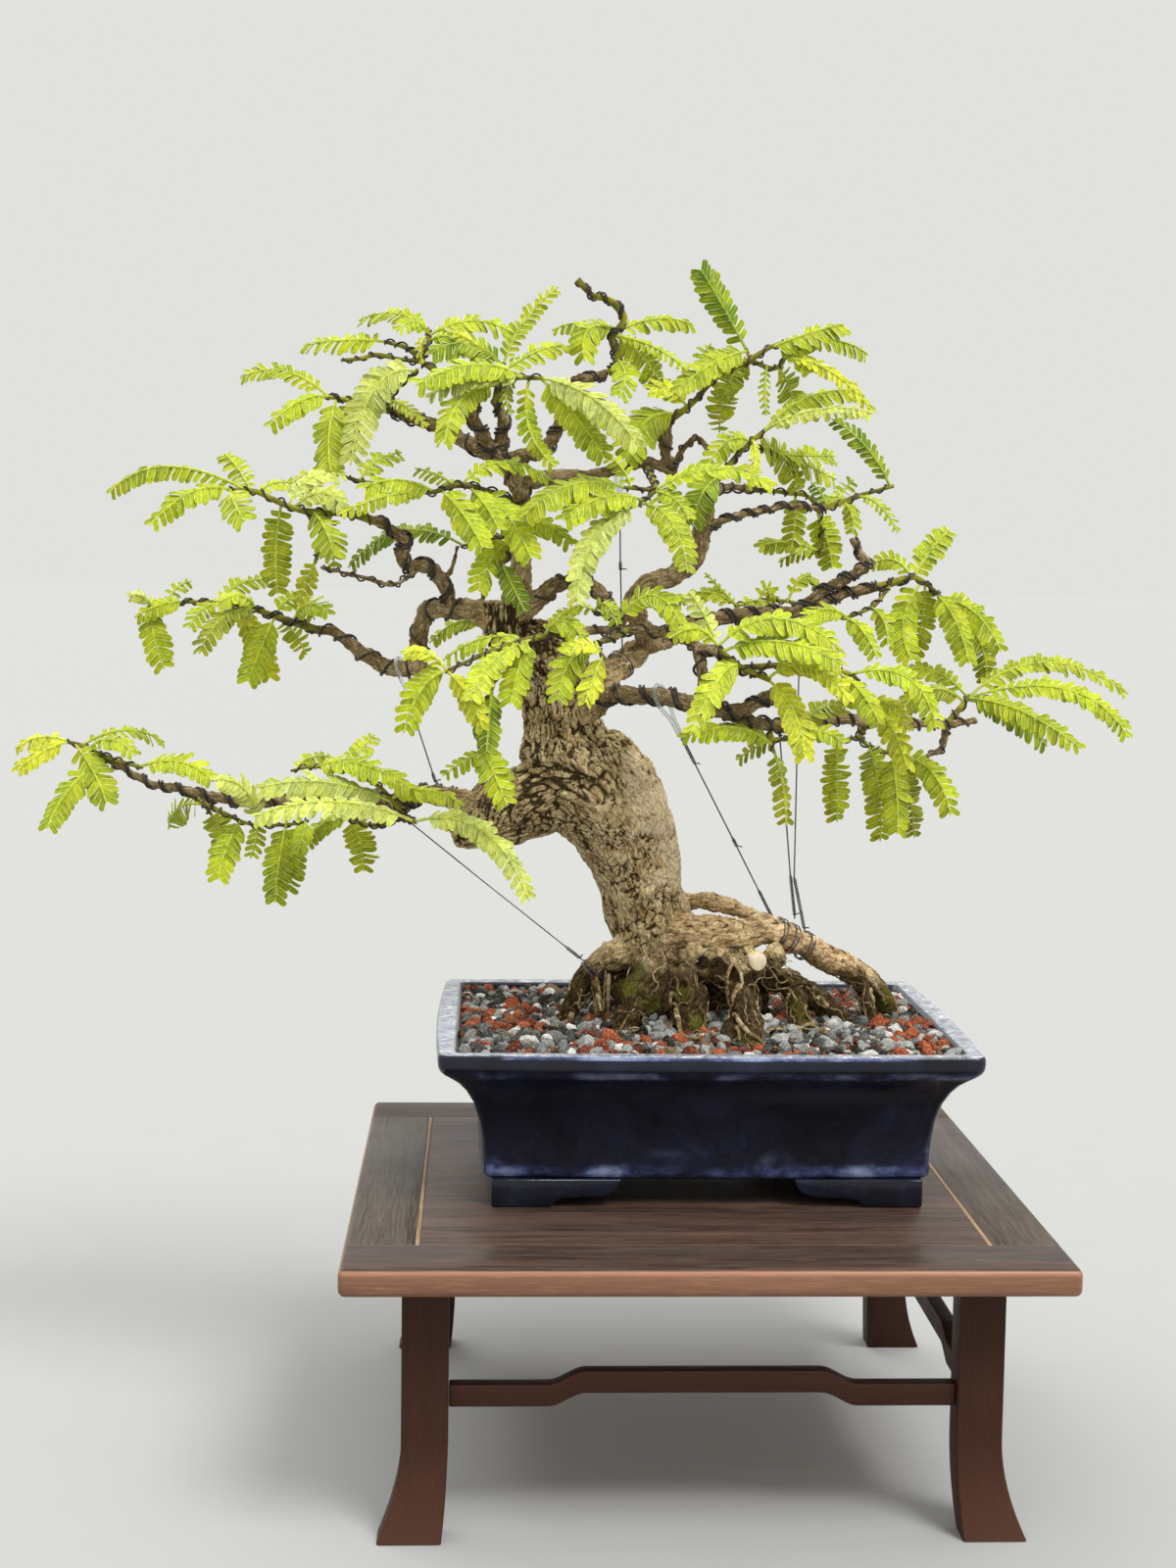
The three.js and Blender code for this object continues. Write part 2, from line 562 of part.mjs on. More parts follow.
// The wood with `grow` added all round: with none it is the tree, with the gap it is what others leave free
function wood(grow) {
  const pieces = [
    limb(seenStops(TRUNK), WOOD.trunkSides, grow),
    limb(seenStops(BURL), WOOD.burlSides, grow),
  ];
  const isThick = (route) => Math.max(...route.map((stop) => stop[3])) > WOOD.thickFrom;
  for (const route of ROOTS) {
    pieces.push(limb(seenStops(route, 0), isThick(route) ? WOOD.limbSides : WOOD.rootletSides, grow));
  }
  for (const route of Object.values(BRANCHES)) {
    pieces.push(limb(seenStops(route), isThick(route) ? WOOD.limbSides : WOOD.twigSides, grow));
  }
  return join(pieces).simplify(WOOD.smooth);
}

// Leafy stems. `stems` are shoots, as x, z, depth, radius. `leaves` are fronds, each with its foot, middle
// and tip as x, z; then the depth of its foot and tip; then how far its upper face turns from the sky
// (0 degrees) towards the viewer (90 degrees); and for some leaves their share of the usual width.
const SPRAYS = {
  low_left_tip: {
    stems: [
      [[-295, 345, 0, 1.5], [-310, 354, 3, 1.3], [-321, 357, 3, 1]],
      [[-304, 351, 1, 1.2], [-293, 347, -11, 1.1], [-281, 344, -13, 1]],
    ],
    leaves: [
      [-282, 344, -262, 347, -245, 337, -11, -35, 40],
      [-318, 356, -332, 359, -346, 353, 3, 11, 40], [-320, 356, -333, 351, -345, 342, 3, -14, 55],
      [-316, 355, -306, 341, -300, 326, 0, -20, 80], [-310, 355, -297, 358, -285, 350, 0, -14, 40],
      [-312, 356, -290, 363, -270, 357, 6, 31, 30], [-302, 347, -319, 332, -330, 312, 0, -28, 60],
    ],
  },
  low_left_outer: {
    stems: [
      [[-262, 332, -6, 1.4], [-252, 327, 8, 1.2], [-246, 320, 22, 1]],
      [
        [-252, 327, 8, 1.2], [-240, 321, -8, 1.2], [-226, 315, -14, 1], [-206, 315, -22, 0.9],
        [-196, 317, -28, 0.9],
      ],
    ],
    leaves: [
      [-253, 328, -263, 323, -268, 312, 14, 45, 70],
      [-247, 321, -241, 311, -238, 298, 21, 45, 80], [-232, 317, -238, 303, -243, 286, -14, -31, 85],
      [-222, 315, -223, 307, -226, 297, -14, -20, 80], [-207, 315, -211, 296, -213, 274, -22, -34, 90],
      [-201, 316, -205, 298, -207, 280, -25, -20, 85], [-196, 317, -199, 309, -202, 299, -28, -39, 80],
      [-222, 316, -229, 333, -243, 338, -16, -40, 50],
    ],
  },
  low_left_inner: {
    stems: [
      [[-148, 326, -3, 1.8], [-147, 320, -22, 1.5], [-141, 317, -45, 1.3]],
      [
        [-147, 320, -22, 1.4], [-158, 334, -20, 1.2], [-176, 343, -11, 1.1], [-195, 345, -11, 1],
        [-205, 343, -8, 0.9],
      ],
      [[-147, 320, -22, 1.4], [-160, 315, 3, 1.2], [-176, 318, 25, 1]],
    ],
    leaves: [
      [-142, 317, -183, 327, -225, 319, -45, -59, 35, 1.3], [-140, 317, -106, 313, -81, 276, -45, -78, 50],
      [-153, 329, -136, 334, -116, 326, -21, -36, 35], [-193, 345, -170, 347, -143, 334, -11, -31, 30, 1.4],
      [-177, 343, -170, 353, -162, 362, -11, 3, 60], [-203, 344, -195, 350, -183, 350, -8, 8, 60],
      [-175, 318, -169, 306, -167, 291, 25, 42, 80],
      [-152, 327, -186, 337, -222, 334, -20, -36, 40, 1.3],
      [-174, 318, -188, 316, -197, 304, 22, 10, 50],
    ],
  },
  front_left: {
    stems: [
      [[-55, 417, -39, 2], [-76, 414, -50, 1.7], [-100, 407, -64, 1.4], [-126, 395, -77, 1.1]],
      [[-100, 407, -64, 1.2], [-101, 388, -67, 1], [-110, 370, -66, 0.9], [-106, 352, -62, 0.9]],
    ],
    leaves: [
      [-125, 395, -136, 405, -147, 404, -77, -84, 50], [-125, 395, -138, 386, -147, 363, -77, -90, 85],
      [-124, 395, -114, 383, -106, 366, -77, -87, 70], [-84, 412, -105, 413, -127, 401, -56, -48, 35],
      [-78, 413, -100, 402, -112, 380, -53, -87, 55], [-82, 411, -88, 397, -92, 379, -56, -73, 80],
      [-101, 386, -103, 371, -104, 354, -67, -78, 90], [-109, 358, -101, 345, -93, 326, -63, -78, 80],
      [-106, 352, -115, 349, -127, 341, -62, -67, 50], [-76, 414, -64, 422, -50, 405, -50, -64, 50],
      [-74, 414, -67, 424, -59, 430, -50, -39, 60],
    ],
  },
  middle_left: {
    stems: [
      [[-191, 416, 32, 2.6], [-208, 421, 31, 2.1], [-228, 427, 31, 1.7], [-245, 429, 31, 1.4],
      [-262, 429, 31, 1.2], [-278, 426, 28, 1]],
    ],
    leaves: [
      [-277, 425, -275, 411, -270, 395, 28, 17, 90], [-268, 428, -264, 436, -256, 440, 31, 42, 60],
      [-243, 429, -231, 439, -217, 441, 31, 48, 45], [-245, 428, -251, 425, -257, 416, 28, 14, 60],
      [-222, 425, -239, 422, -252, 403, 28, 3, 45], [-232, 426, -223, 409, -216, 391, 28, 31, 80],
      [-214, 422, -221, 405, -227, 389, 25, 8, 90], [-204, 420, -196, 429, -185, 424, 31, 14, 50],
      [-210, 421, -203, 413, -197, 403, 34, 48, 70],
      [-222, 426, -232, 433, -244, 427, 31, 14, 45], [-213, 423, -203, 432, -193, 421, 33, 45, 60],
      [-276, 426, -281, 432, -288, 432, 28, 20, 60],
      [-260, 429, -271, 428, -285, 421, 31, 20, 50, 1.1],
    ],
  },
  upper_left_tip: {
    stems: [
      [
        [-162, 472, -21, 2.5], [-172, 475, -22, 2.2], [-200, 477, -28, 1.8], [-224, 486, -28, 1.4],
        [-238, 487, -31, 1],
      ],
      [[-198, 477, -28, 1.3], [-190, 463, -8, 1.1], [-193, 450, 0, 1]],
    ],
    leaves: [
      [-228, 487, -268, 498, -298, 484, -28, -36, 40], [-236, 487, -256, 485, -277, 468, -31, -56, 50],
      [-225, 487, -232, 497, -239, 505, -25, -8, 60], [-236, 487, -234, 480, -229, 471, -31, -64, 85],
      [-210, 480, -213, 457, -212, 434, -25, -14, 85], [-194, 477, -188, 468, -183, 454, -28, -48, 75, 1.2],
      [-190, 463, -185, 457, -183, 447, -8, -6, 80], [-193, 450, -197, 441, -201, 429, 0, 6, 80],
      [-206, 479, -196, 493, -177, 495, -28, -20, 40],
      [-203, 480, -190, 486, -178, 478, -28, -34, 45, 1.2],
      [-223, 486, -212, 491, -199, 489, -28, -17, 40],
    ],
  },
  upper_left_inner: {
    stems: [
      [[-88, 482, 0, 2.2], [-104, 488, -17, 1.8], [-120, 491, -28, 1.6], [-134, 487, -29, 1.3],
      [-152, 489, -20, 1.2], [-178, 494, -3, 1]],
    ],
    leaves: [
      [-178, 494, -192, 497, -206, 489, -3, 0, 40], [-133, 488, -150, 493, -168, 489, -29, -42, 35, 1.5],
      [-136, 487, -156, 485, -181, 475, -29, -59, 45, 0.8], [-129, 489, -117, 476, -107, 459, -29, -53, 80],
      [-113, 490, -106, 481, -99, 469, -25, -42, 80], [-106, 489, -93, 474, -82, 454, -20, -48, 80],
      [-118, 491, -97, 503, -72, 494, -28, -17, 35], [-170, 493, -161, 503, -149, 507, -8, 11, 50],
      [-121, 491, -131, 496, -142, 499, -28, -17, 45],
    ],
  },
  crown_left: {
    stems: [
      [[-148, 525, 20, 2.4], [-158, 529, 21, 2], [-172, 532, 18, 1.6], [-188, 535, 14, 1.2]],
      [[-158, 529, 21, 1.5], [-151, 540, 3, 1.2], [-141, 549, -8, 1]],
    ],
    leaves: [
      [-141, 550, -163, 539, -175, 500, -10, -22, 60, 1.25], [-187, 535, -209, 547, -231, 543, 14, 22, 40],
      [-186, 535, -201, 532, -217, 519, 14, -6, 50], [-182, 534, -186, 515, -185, 497, 14, -22, 88],
      [-174, 532, -178, 518, -176, 504, 18, 28, 85],
      [-158, 531, -147, 530, -136, 520, 12, -6, 60, 0.6],
    ],
  },
  crown_left_top: {
    stems: [
      [
        [-121, 542, -10, 2.4], [-131, 548, 0, 2], [-139, 553, 8, 1.7], [-145, 559, 17, 1.5],
        [-158, 563, 34, 1.1],
      ],
      [[-139, 553, 8, 1.4], [-136, 562, 8, 1.2], [-136, 570, 20, 1]],
      [
        [-139.5, 553, 8, 1.4], [-150, 554, 10, 1.3], [-162, 556, 12, 1.2], [-171, 554, 14, 1],
        [-180, 553, 16, 0.9],
      ],
    ],
    leaves: [
      [-136, 571, -153, 577, -171, 573, 20, 45, 40], [-158, 563, -179, 563, -199, 560, 34, 48, 45, 1.1],
      [-136, 566, -113, 574, -90, 567, 14, 20, 35, 1.15], [-136, 569, -143, 573, -152, 568, 14, 3, 60],
      [-136, 563, -122, 566, -106, 556, 10, -3, 50],
      [-136, 568, -140, 561, -138, 551, 12, 4, 70, 0.6],
    ],
  },
  crown_front: {
    stems: [
      [[-101, 534, -10, 2.4], [-99, 546, -11, 2], [-97, 553, -7, 1.2]], [[-99, 544, -11, 1.6],
      [-88, 546, -25, 1.4], [-77, 546, -34, 1.1]],
    ],
    leaves: [
      [-97, 552, -88, 573, -70, 592, -7, 3, 60, 0.7], [-98, 551, -115, 563, -135, 557, -7, -17, 45, 1.2],
      [-87, 546, -113, 552, -142, 541, -25, -48, 40, 1.3], [-100, 542, -119, 534, -127, 512, -11, -64, 60],
      [-94, 548, -79, 560, -64, 562, -11, 6, 45], [-77, 544, -51, 536, -27, 512, -34, -53, 50, 1.25],
      [-78, 544, -60, 527, -45, 506, -32, -42, 70, 1.1],
      [-88, 545, -110, 547, -136, 535, -27, -40, 45],
      [-84, 544, -84, 521, -70, 501, -28, -38, 80, 0.7],
      [-90, 545, -96, 538, -93, 527, -22, -30, 70, 0.7],
      [-98, 552, -111, 562, -122, 568, -8, -14, 55, 0.8],
    ],
  },
  top: {
    stems: [
      [[-44, 549, 0, 2.4], [-39, 555, 0, 2.2], [-42, 567, 0, 2], [-36, 577, 0, 2], [-44, 586, 0, 1.9],
      [-52, 588, 0, 1.8], [-60, 596, 0, 1.7]],
    ],
    leaves: [
      [-41, 570, -19, 577, 0, 574, 0, 6, 45], [-41, 568, -21, 563, -3, 551, -1, -20, 55, 0.6],
      [-40, 572, -54, 571, -56, 555, -1, -17, 70, 1.1], [-41, 569, -57, 574, -73, 570, 0, 8, 50, 0.8],
      [-41, 568, -27, 558, -16, 543, 3, 17, 70, 1.1], [-39, 556, -35, 548, -38, 537, -1, -20, 80],
    ],
  },
  top_right: {
    stems: [
      [
        [-13, 525, 17, 2], [-1, 534, 15, 1.8], [12, 548, 14, 1.6], [29, 557, 11, 1.5], [40, 564, 11, 1.4],
        [56, 568, 20, 1],
      ],
      [[29, 557, 11, 1.4], [42, 553, 20, 1.2], [48, 559, 11, 1]],
      [[29, 557, 11, 1.4], [27, 563, 11, 1.2]],
    ],
    leaves: [
      [27, 563, 14, 585, 3, 602, 11, 3, 85], [26, 562, 10, 555, -8, 541, 10, -14, 60],
      [40, 563, 59, 571, 77, 576, 11, 11, 40, 1.3], [55, 566, 75, 567.5, 90, 561, 20, 36, 45],
      [42, 553, 49, 545, 52, 532, 20, 42, 75], [47, 559, 71, 552, 93, 532, 11, -11, 50, 0.7],
      [28, 557, 20, 548, 15, 536, 17, 31, 75], [38, 554, 37, 542, 38, 529, 17, 6, 85, 0.5],
      [23, 555, 16, 538, 14, 520, 14, 48, 80], [9, 546, 5, 556, 9, 565, 14, 25, 60],
      [-8, 529, -24, 525, -34, 505, 15, -8, 65, 1.4],
      [-3, 533, -12, 541, -22, 541, 15, 6, 60, 1.3], [41, 562, 55, 561, 61, 551, 13, 6, 60, 1.2],
    ],
  },
  crown_right: {
    stems: [
      [[11, 493, 0, 2.2], [19, 503, 3, 1.7], [29, 514, 6, 1.4], [38, 522, 8, 1.2]],
      [[29, 514, 6, 1.3], [44, 509, 34, 1]],
    ],
    leaves: [
      [38, 522, 60, 539, 87, 542, 8, 14, 40, 1.15], [37, 521, 65, 532.5, 93, 531, 7, -28, 35, 1.1],
      [34, 518, 46, 509, 56, 490, 14, 53, 75], [43, 509, 58, 509, 74, 509, 31, 48, 50],
      [44, 509, 59, 504, 75, 497, 34, 64, 60], [31, 516, 19, 516, 8, 502, 4, -6, 60],
      [32, 517, 33, 506, 30, 491, 4, -28, 80, 0.45], [15, 497, 6, 489, 1, 472, 1, -25, 75],
    ],
  },
  right_upper: {
    stems: [[[69, 482, 7, 1.6], [78, 485, 8, 1.5], [88, 489, 11, 1.3], [105, 494, 14, 1.1]]],
    leaves: [
      [103, 494, 91, 513, 72, 528, 14, 6, 70, 0.7], [87, 488, 98, 484, 108, 470, 11, -8, 55, 0.6],
      [80, 486, 84, 478, 84, 469, 7, 0, 80], [75, 484, 79, 491, 84, 497, 11, 22, 60],
      [71, 482, 67, 490, 62, 495, 8, 16, 60],
    ],
  },
  right_upper_back: {
    stems: [
      [[32, 491, 38, 1.6], [48, 490, 56, 1.4], [62, 487, 70, 1.3], [68, 474, 76, 1.1], [67, 458, 78, 1]],
    ],
    leaves: [
      [54, 489, 54, 476, 53, 462, 62, 64, 85], [66, 479, 71, 466, 74, 451, 74, 81, 80, 1.2],
      [67, 460, 50, 464, 36, 462, 77, 70, 45], [67, 457, 56, 459, 46, 454, 78, 87, 45],
      [64, 485, 76, 488, 88, 480, 70, 87, 40],
    ],
  },
  right_inner: {
    stems: [
      [[-24, 503, 20, 1.8], [-21, 498, 0, 1.5], [-19, 490, -22, 1.3], [-27, 482, -34, 1.1]],
      [[-19, 490, -22, 1.2], [-35, 491, -31, 1]],
    ],
    leaves: [
      [-19, 490, 12, 501, 43, 493, -22, -39, 35, 1.15], [-19, 490, -9, 486, -1, 475, -22, -39, 60],
      [-26, 483, -10, 474, -1, 448, -32, -62, 60], [-24, 485, -45, 486, -66, 474, -31, -53, 40, 1.3],
      [-27, 482, -50, 464, -58, 431, -34, -64, 55], [-35, 491, -62, 492, -86, 476, -31, -48, 40, 1.4],
      [-31, 491, -36, 501, -44, 507, -29, -22, 60],
    ],
  },
  column_left: {
    stems: [
      [[-87, 470, 0, 2], [-90, 466, -13, 1.5], [-94, 455, -27, 1.2], [-98, 450, -34, 1]],
      [[-90, 466, -13, 1.2], [-99, 465, 6, 1.2], [-108, 462, 22, 1.1], [-118, 460, 34, 1]],
      [[-108, 462, 22, 1.1], [-107, 440, 31, 1], [-106, 417, 36, 0.9]],
    ],
    leaves: [
      [-91, 463, -102, 454, -109, 437, -17, -34, 80], [-97, 451, -92, 441, -85, 427, -32, -42, 85],
      [-118, 460, -149, 467, -176, 448, 34, 59, 45], [-106, 417, -119, 421, -134, 410, 36, 48, 45],
      [-88, 467, -76, 472, -61, 461, -7, -25, 50],
    ],
  },
  front_middle: {
    stems: [
      [[-32, 418, -42, 1.8], [-40, 413, -56, 1.5], [-48, 410, -67, 1.2], [-43, 403, -73, 1]],
      [[-40, 413, -56, 1.3], [-38, 422, -42, 1.1], [-50, 428, -34, 1]],
    ],
    leaves: [
      [-50, 428, -43, 431, -37, 420, -34, -48, 60], [-48, 410, -61, 402, -67, 380, -67, -84, 75],
      [-45, 405, -52, 410, -63, 406, -70, -87, 50], [-44, 404, -49, 393, -53, 380, -71, -87, 75],
      [-38, 421, -18, 436, -2, 415, -43, -59, 50], [-50, 428, -58, 430, -66, 424, -34, -28, 50],
    ],
  },
  front_right: {
    stems: [
      [[30, 398, -63, 2.2], [43, 393, -70, 1.5]],
      [[37, 395, -67, 1.4], [24, 402, -76, 1.3], [14, 411, -77, 1]],
    ],
    leaves: [
      [27, 398, 16, 393, 2, 364, -76, -101, 60], [14, 411, 46, 425, 81, 408, -76, -81, 35, 1.3],
      [17, 408, 49, 413, 81, 401, -71, -95, 40, 1.3], [42, 393, 64, 401, 85, 382, -70, -90, 50],
      [42, 393, 56, 376, 62, 353, -70, -92, 80], [15, 410, 5, 419, -10, 414, -74, -84, 50],
      [14, 411, 8, 426, 0, 438, -76, -70, 60, 0.9],
    ],
  },
  front_right_outer: {
    stems: [
      [[27, 399, -62, 1.6], [38, 400, -56, 1.6], [55, 401, -53, 1.5], [72, 399, -50, 1.3],
      [86, 396, -48, 1.1], [97, 380, -36, 1]],
    ],
    leaves: [
      [78, 398, 91, 387, 101, 371, -49, -67, 55], [86, 396, 115, 395, 131, 368, -48, -62, 50],
      [97, 380, 109, 366, 116, 347, -36, -42, 75], [96, 382, 107, 380, 117, 367, -38, -50, 50],
      [90, 390, 84, 384, 82, 374, -43, -36, 80],
    ],
  },
  right_lower: {
    stems: [
      [[44, 370, -48, 1.6], [44, 362, -53, 1.3], [46, 355, -56, 1]], [[44, 362, -53, 1.2],
      [58, 362, -50, 1]],
    ],
    leaves: [
      [45, 359, 25, 368, -3, 362, -55, -70, 45], [47, 361, 37, 358, 26, 351, -53, -42, 50],
      [46, 355, 51, 338, 53, 317, -56, -59, 30], [58, 362, 70, 366, 83, 360, -50, -64, 50],
      [57, 362, 67, 377, 81, 380, -50, -45, 55],
    ],
  },
  right_hanging: {
    stems: [
      [[95, 372, 3, 2.4], [91, 364, 22, 1.5], [98, 358, 38, 1.3], [116, 353, 48, 1.1]],
      [[91, 364, 22, 1.2], [78, 361, 42, 1]],
    ],
    leaves: [
      [78, 361, 79, 342, 80, 319, 42, 56, 88], [94, 361, 101, 339, 103, 309, 31, 64, 85],
      [108, 355, 111, 335, 112, 313, 43, 34, 88], [114, 353, 118, 333, 121, 311, 46, 59, 80],
      [116, 353, 130, 345, 140, 323, 48, 34, 75],
    ],
  },
  right_tip: {
    stems: [[[137, 371, 31, 2.2], [148, 386, 42, 1.4]]],
    leaves: [
      [148, 386, 187, 404, 232, 388, 42, 53, 40], [148, 386, 199, 390, 233, 365, 42, 17, 45],
      [147, 385, 176, 378, 208, 359, 41, 6, 55], [146, 384, 170, 376, 190, 360, 41, 62, 60],
      [147, 386, 127, 399, 107, 396, 42, 64, 45], [145, 383, 127, 389, 108, 373, 39, 22, 50],
    ],
  },
  right_middle: {
    stems: [
      [
        [92, 440, 45, 2.8], [105, 444, 48, 2.2], [118, 447, 50, 1.6], [127, 441, 50, 1.2],
        [140, 429, 62, 1],
      ],
      [[105, 444, 48, 1.4], [96, 432, 34, 1.2], [80, 425, 25, 1]],
      [[81, 425.5, 26, 1.1], [66, 431, 50, 1.1], [48, 434, 66, 1.1], [34, 433, 60, 1.1], [24, 431, 46, 1]],
    ],
    leaves: [
      [121, 445, 112, 424, 117, 404, 50, 36, 80], [123, 444, 122, 426, 118, 408, 50, 67, 85],
      [128, 440, 140, 424, 147, 403, 52, 31, 75], [132, 437, 150, 429, 164, 409, 56, 45, 65],
      [140, 429, 152, 415, 157, 394, 62, 78, 75], [118, 447, 125, 461, 135, 472, 50, 64, 70],
      [116, 447, 106, 456, 94, 453, 50, 56, 60], [96, 432, 102, 424, 104, 412, 34, 20, 75],
      [82, 426, 70, 430, 58, 422, 27, 8, 50], [80, 425, 90, 420, 99, 405, 25, 8, 60],
      [36, 434, 41, 441, 45, 432, 61, 64, 60], [52, 433, 60, 447, 70, 439, 64, 70, 40],
      [26, 431, 37, 434, 50, 430, 48, 70, 40], [25, 431, 17, 439, 8, 448, 46, 56, 50, 0.6],
      [26, 431, 8, 438, -9, 432, 46, 60, 40],
    ],
  },
};

// One pinnate leaf: a thin arched blade, its outline cut to the rib between the leaflets. The rib runs from
// the nearest shoot to the tip, and each leaflet thins from the rib to its own tip.
function frond([x0, z0, x1, z1, x2, z2, footDepth, tipDepth, turn, wide = 1], shoots) {
  const foot = nearest(shoots, seen(x0, z0, footDepth));
  const middle = seen(x1, z1, (footDepth + tipDepth) / 2);
  const tip = seen(x2, z2, tipDepth);
  const pull = middle.clone().multiplyScalar(2).sub(foot.clone().add(tip).multiplyScalar(0.5));
  const rib = new THREE.QuadraticBezierCurve3(foot, pull, tip);
  const length = rib.getLength();
  const pairs = Math.max(LEAF.fewestPairs, Math.round(length / LEAF.pairPitch));
  const { share, below, openFrom } = LEAF.folded;
  const open = THREE.MathUtils.clamp((turn - below) / (openFrom - below), 0, 1);
  const narrowed = wide * THREE.MathUtils.lerp(share, 1, open);
  const halfWidth = narrowed * Math.min(LEAF.halfWidth, LEAF.widthShare * length + LEAF.widthBase);
  const tilt = THREE.MathUtils.degToRad(turn);
  const upper = new THREE.Vector3(0, -Math.sin(tilt), Math.cos(tilt));

  const positions = foot.toArray();
  const put = (t, sideways, lift) => {
    const tangent = rib.getTangent(t);
    const side = new THREE.Vector3().crossVectors(tangent, upper).normalize();
    const face = new THREE.Vector3().crossVectors(side, tangent);
    const point = rib.getPoint(t).addScaledVector(side, sideways).addScaledVector(face, lift);
    positions.push(...point.toArray());
  };
  const along = (i) => LEAF.stalk + (1 - LEAF.stalk) * i / pairs;
  const half = LEAF.thick / 2;
  for (let i = 0; i < pairs; i++) {
    for (const lift of [half, -half]) for (const side of [1, -1]) put(along(i), side * LEAF.rib, lift);
  }
  const end = positions.length / 3;
  put(1, 0, 0);
  for (let i = 0; i < pairs; i++) {
    const swelling = Math.sin(Math.PI * (LEAF.swell.from + LEAF.swell.over * (i + 0.5) / pairs));
    const width = halfWidth * swelling ** LEAF.swell.power;
    for (const side of [1, -1]) put(along(i + LEAF.sweep), side * width, -LEAF.droop * width);
  }

  const faces = [1, 2, 0, 2, 4, 0, 4, 3, 0, 3, 1, 0]; // the stalk
  const add = (a, b, c) => { if (b !== c) faces.push(a, b, c); };
  for (let i = 0; i < pairs; i++) {
    // upper right, upper left, lower right and lower left of the rib, here and at the next notch or the end
    const [a, b, c, d] = [1, 2, 3, 4].map((corner) => 4 * i + corner);
    const [e, f, g, h] = [5, 6, 7, 8].map((corner) => (i + 1 < pairs ? 4 * i + corner : end));
    const [right, left] = [end + 1 + 2 * i, end + 2 + 2 * i];
    add(a, e, f);
    add(b, a, f);
    add(d, h, g);
    add(c, d, g);
    add(a, right, e);
    add(right, g, e);
    add(c, g, right);
    add(a, c, right);
    add(b, f, left);
    add(left, f, h);
    add(d, left, h);
    add(d, b, left);
  }
  const geometry = new THREE.BufferGeometry();
  geometry.setAttribute('position', new THREE.Float32BufferAttribute(positions, 3));
  geometry.setIndex(faces);
  return solid(geometry);
}

// The nearest point on a shoot's centre line, a little way in from the ends, so that a leaf grows out of it
function nearest(shoots, point) {
  let best = null;
  for (const shoot of shoots) {
    for (let i = 0; i + 1 < shoot.length; i++) {
      const line = new THREE.Line3(shoot[i], shoot[i + 1]);
      const margin = LEAF.inset / line.distance();
      const t = THREE.MathUtils.clamp(line.closestPointToPointParameter(point, true), margin, 1 - margin);
      const spot = line.at(t, new THREE.Vector3());
      if (!best || spot.distanceTo(point) < best.distanceTo(point)) best = spot;
    }
  }
  return best;
}

function spray({ stems, leaves }, clear) {
  const shoots = stems.map((route) => seenStops(route).map((stop) => stop.point));
  const pieces = stems.map((route) => limb(seenStops(route), WOOD.shootSides));
  for (const leaf of leaves) pieces.push(frond(leaf, shoots));
  return join(pieces).simplify(LEAF.even).subtract(clear);
}

// Training wire, wound round a branch from one of its stops to another: branch, first and last stop, turns
const WINDINGS = {
  low_left: ['lowLeft', 5.6, 12, 6],
  middle_left: ['middleLeft', 5.7, 8.8, 4],
  upper_left: ['upperLeft', 5, 7, 3],
  crown: ['leader', 7.3, 10, 3],
  crown_right: ['crownRight', 2.5, 8, 4],
  right: ['right', 5.4, 8.8, 4],
  front_right: ['frontRight', 2.2, 5, 3],
};

function winding([branch, from, to, turns], clear) {
  const stops = seenStops(BRANCHES[branch]);
  const curve = new THREE.CatmullRomCurve3(stops.map((stop) => stop.point), false, 'centripetal');
  const frames = curve.computeFrenetFrames(WIRE.frames, false);
  const steps = turns * WIRE.perTurn;
  const helix = [];
  for (let i = 0; i <= steps; i++) {
    const spot = from + (to - from) * i / steps;
    const t = spot / (stops.length - 1);
    const out = (radiusAt(stops, spot) + WIRE.radius + GAP) / Math.cos(Math.PI / WIRE.perTurn);
    const angle = 2 * Math.PI * i / WIRE.perTurn;
    const f = Math.round(t * WIRE.frames);
    helix.push({
      r: WIRE.radius,
      point: curve.getPoint(t)
        .addScaledVector(frames.normals[f], out * Math.cos(angle))
        .addScaledVector(frames.binormals[f], out * Math.sin(angle)),
    });
  }
  return limb(helix, WIRE.sides).subtract(clear);
}

// Guy wires, each drawn tight from a branch down to a lower branch or a root, with a twist part way
const GUYS = {
  low_left: [[-150, 322, 0], [-110, 290, -5], [-49, 242, -8]],
  middle_left: [[-149, 397, 17], [-140, 367, 6], [-129, 334, -8]],
  across: [[-37, 499, 14], [-36, 453, 14], [-34, 400, 15]],
  front: [[-14, 384, -48], [25, 310, -32], [50, 262, -12]],
  right_front: [[48, 371, -45], [56, 290, -22], [59, 266, -9]],
  right: [[58, 428, 39], [58, 286, 0], [65, 258, -4]],
};
const SLEEVED = ['middle_left', 'across', 'front'];

function guyStops(name, radius) {
  return GUYS[name].map(([x, z, behind]) => ({ point: seen(x, z, behind), r: radius }));
}

function straightTube(stops, sides) {
  return join(stops.slice(1).map((stop, i) => limb([stops[i], stop], sides)));
}

function guy(name, clear) {
  const stops = guyStops(name, GUY.radius);
  const twist = new THREE.OctahedronGeometry(GUY.twist);
  twist.translate(...stops[1].point.toArray());
  return straightTube(stops, GUY.sides).add(solid(twist)).subtract(clear);
}

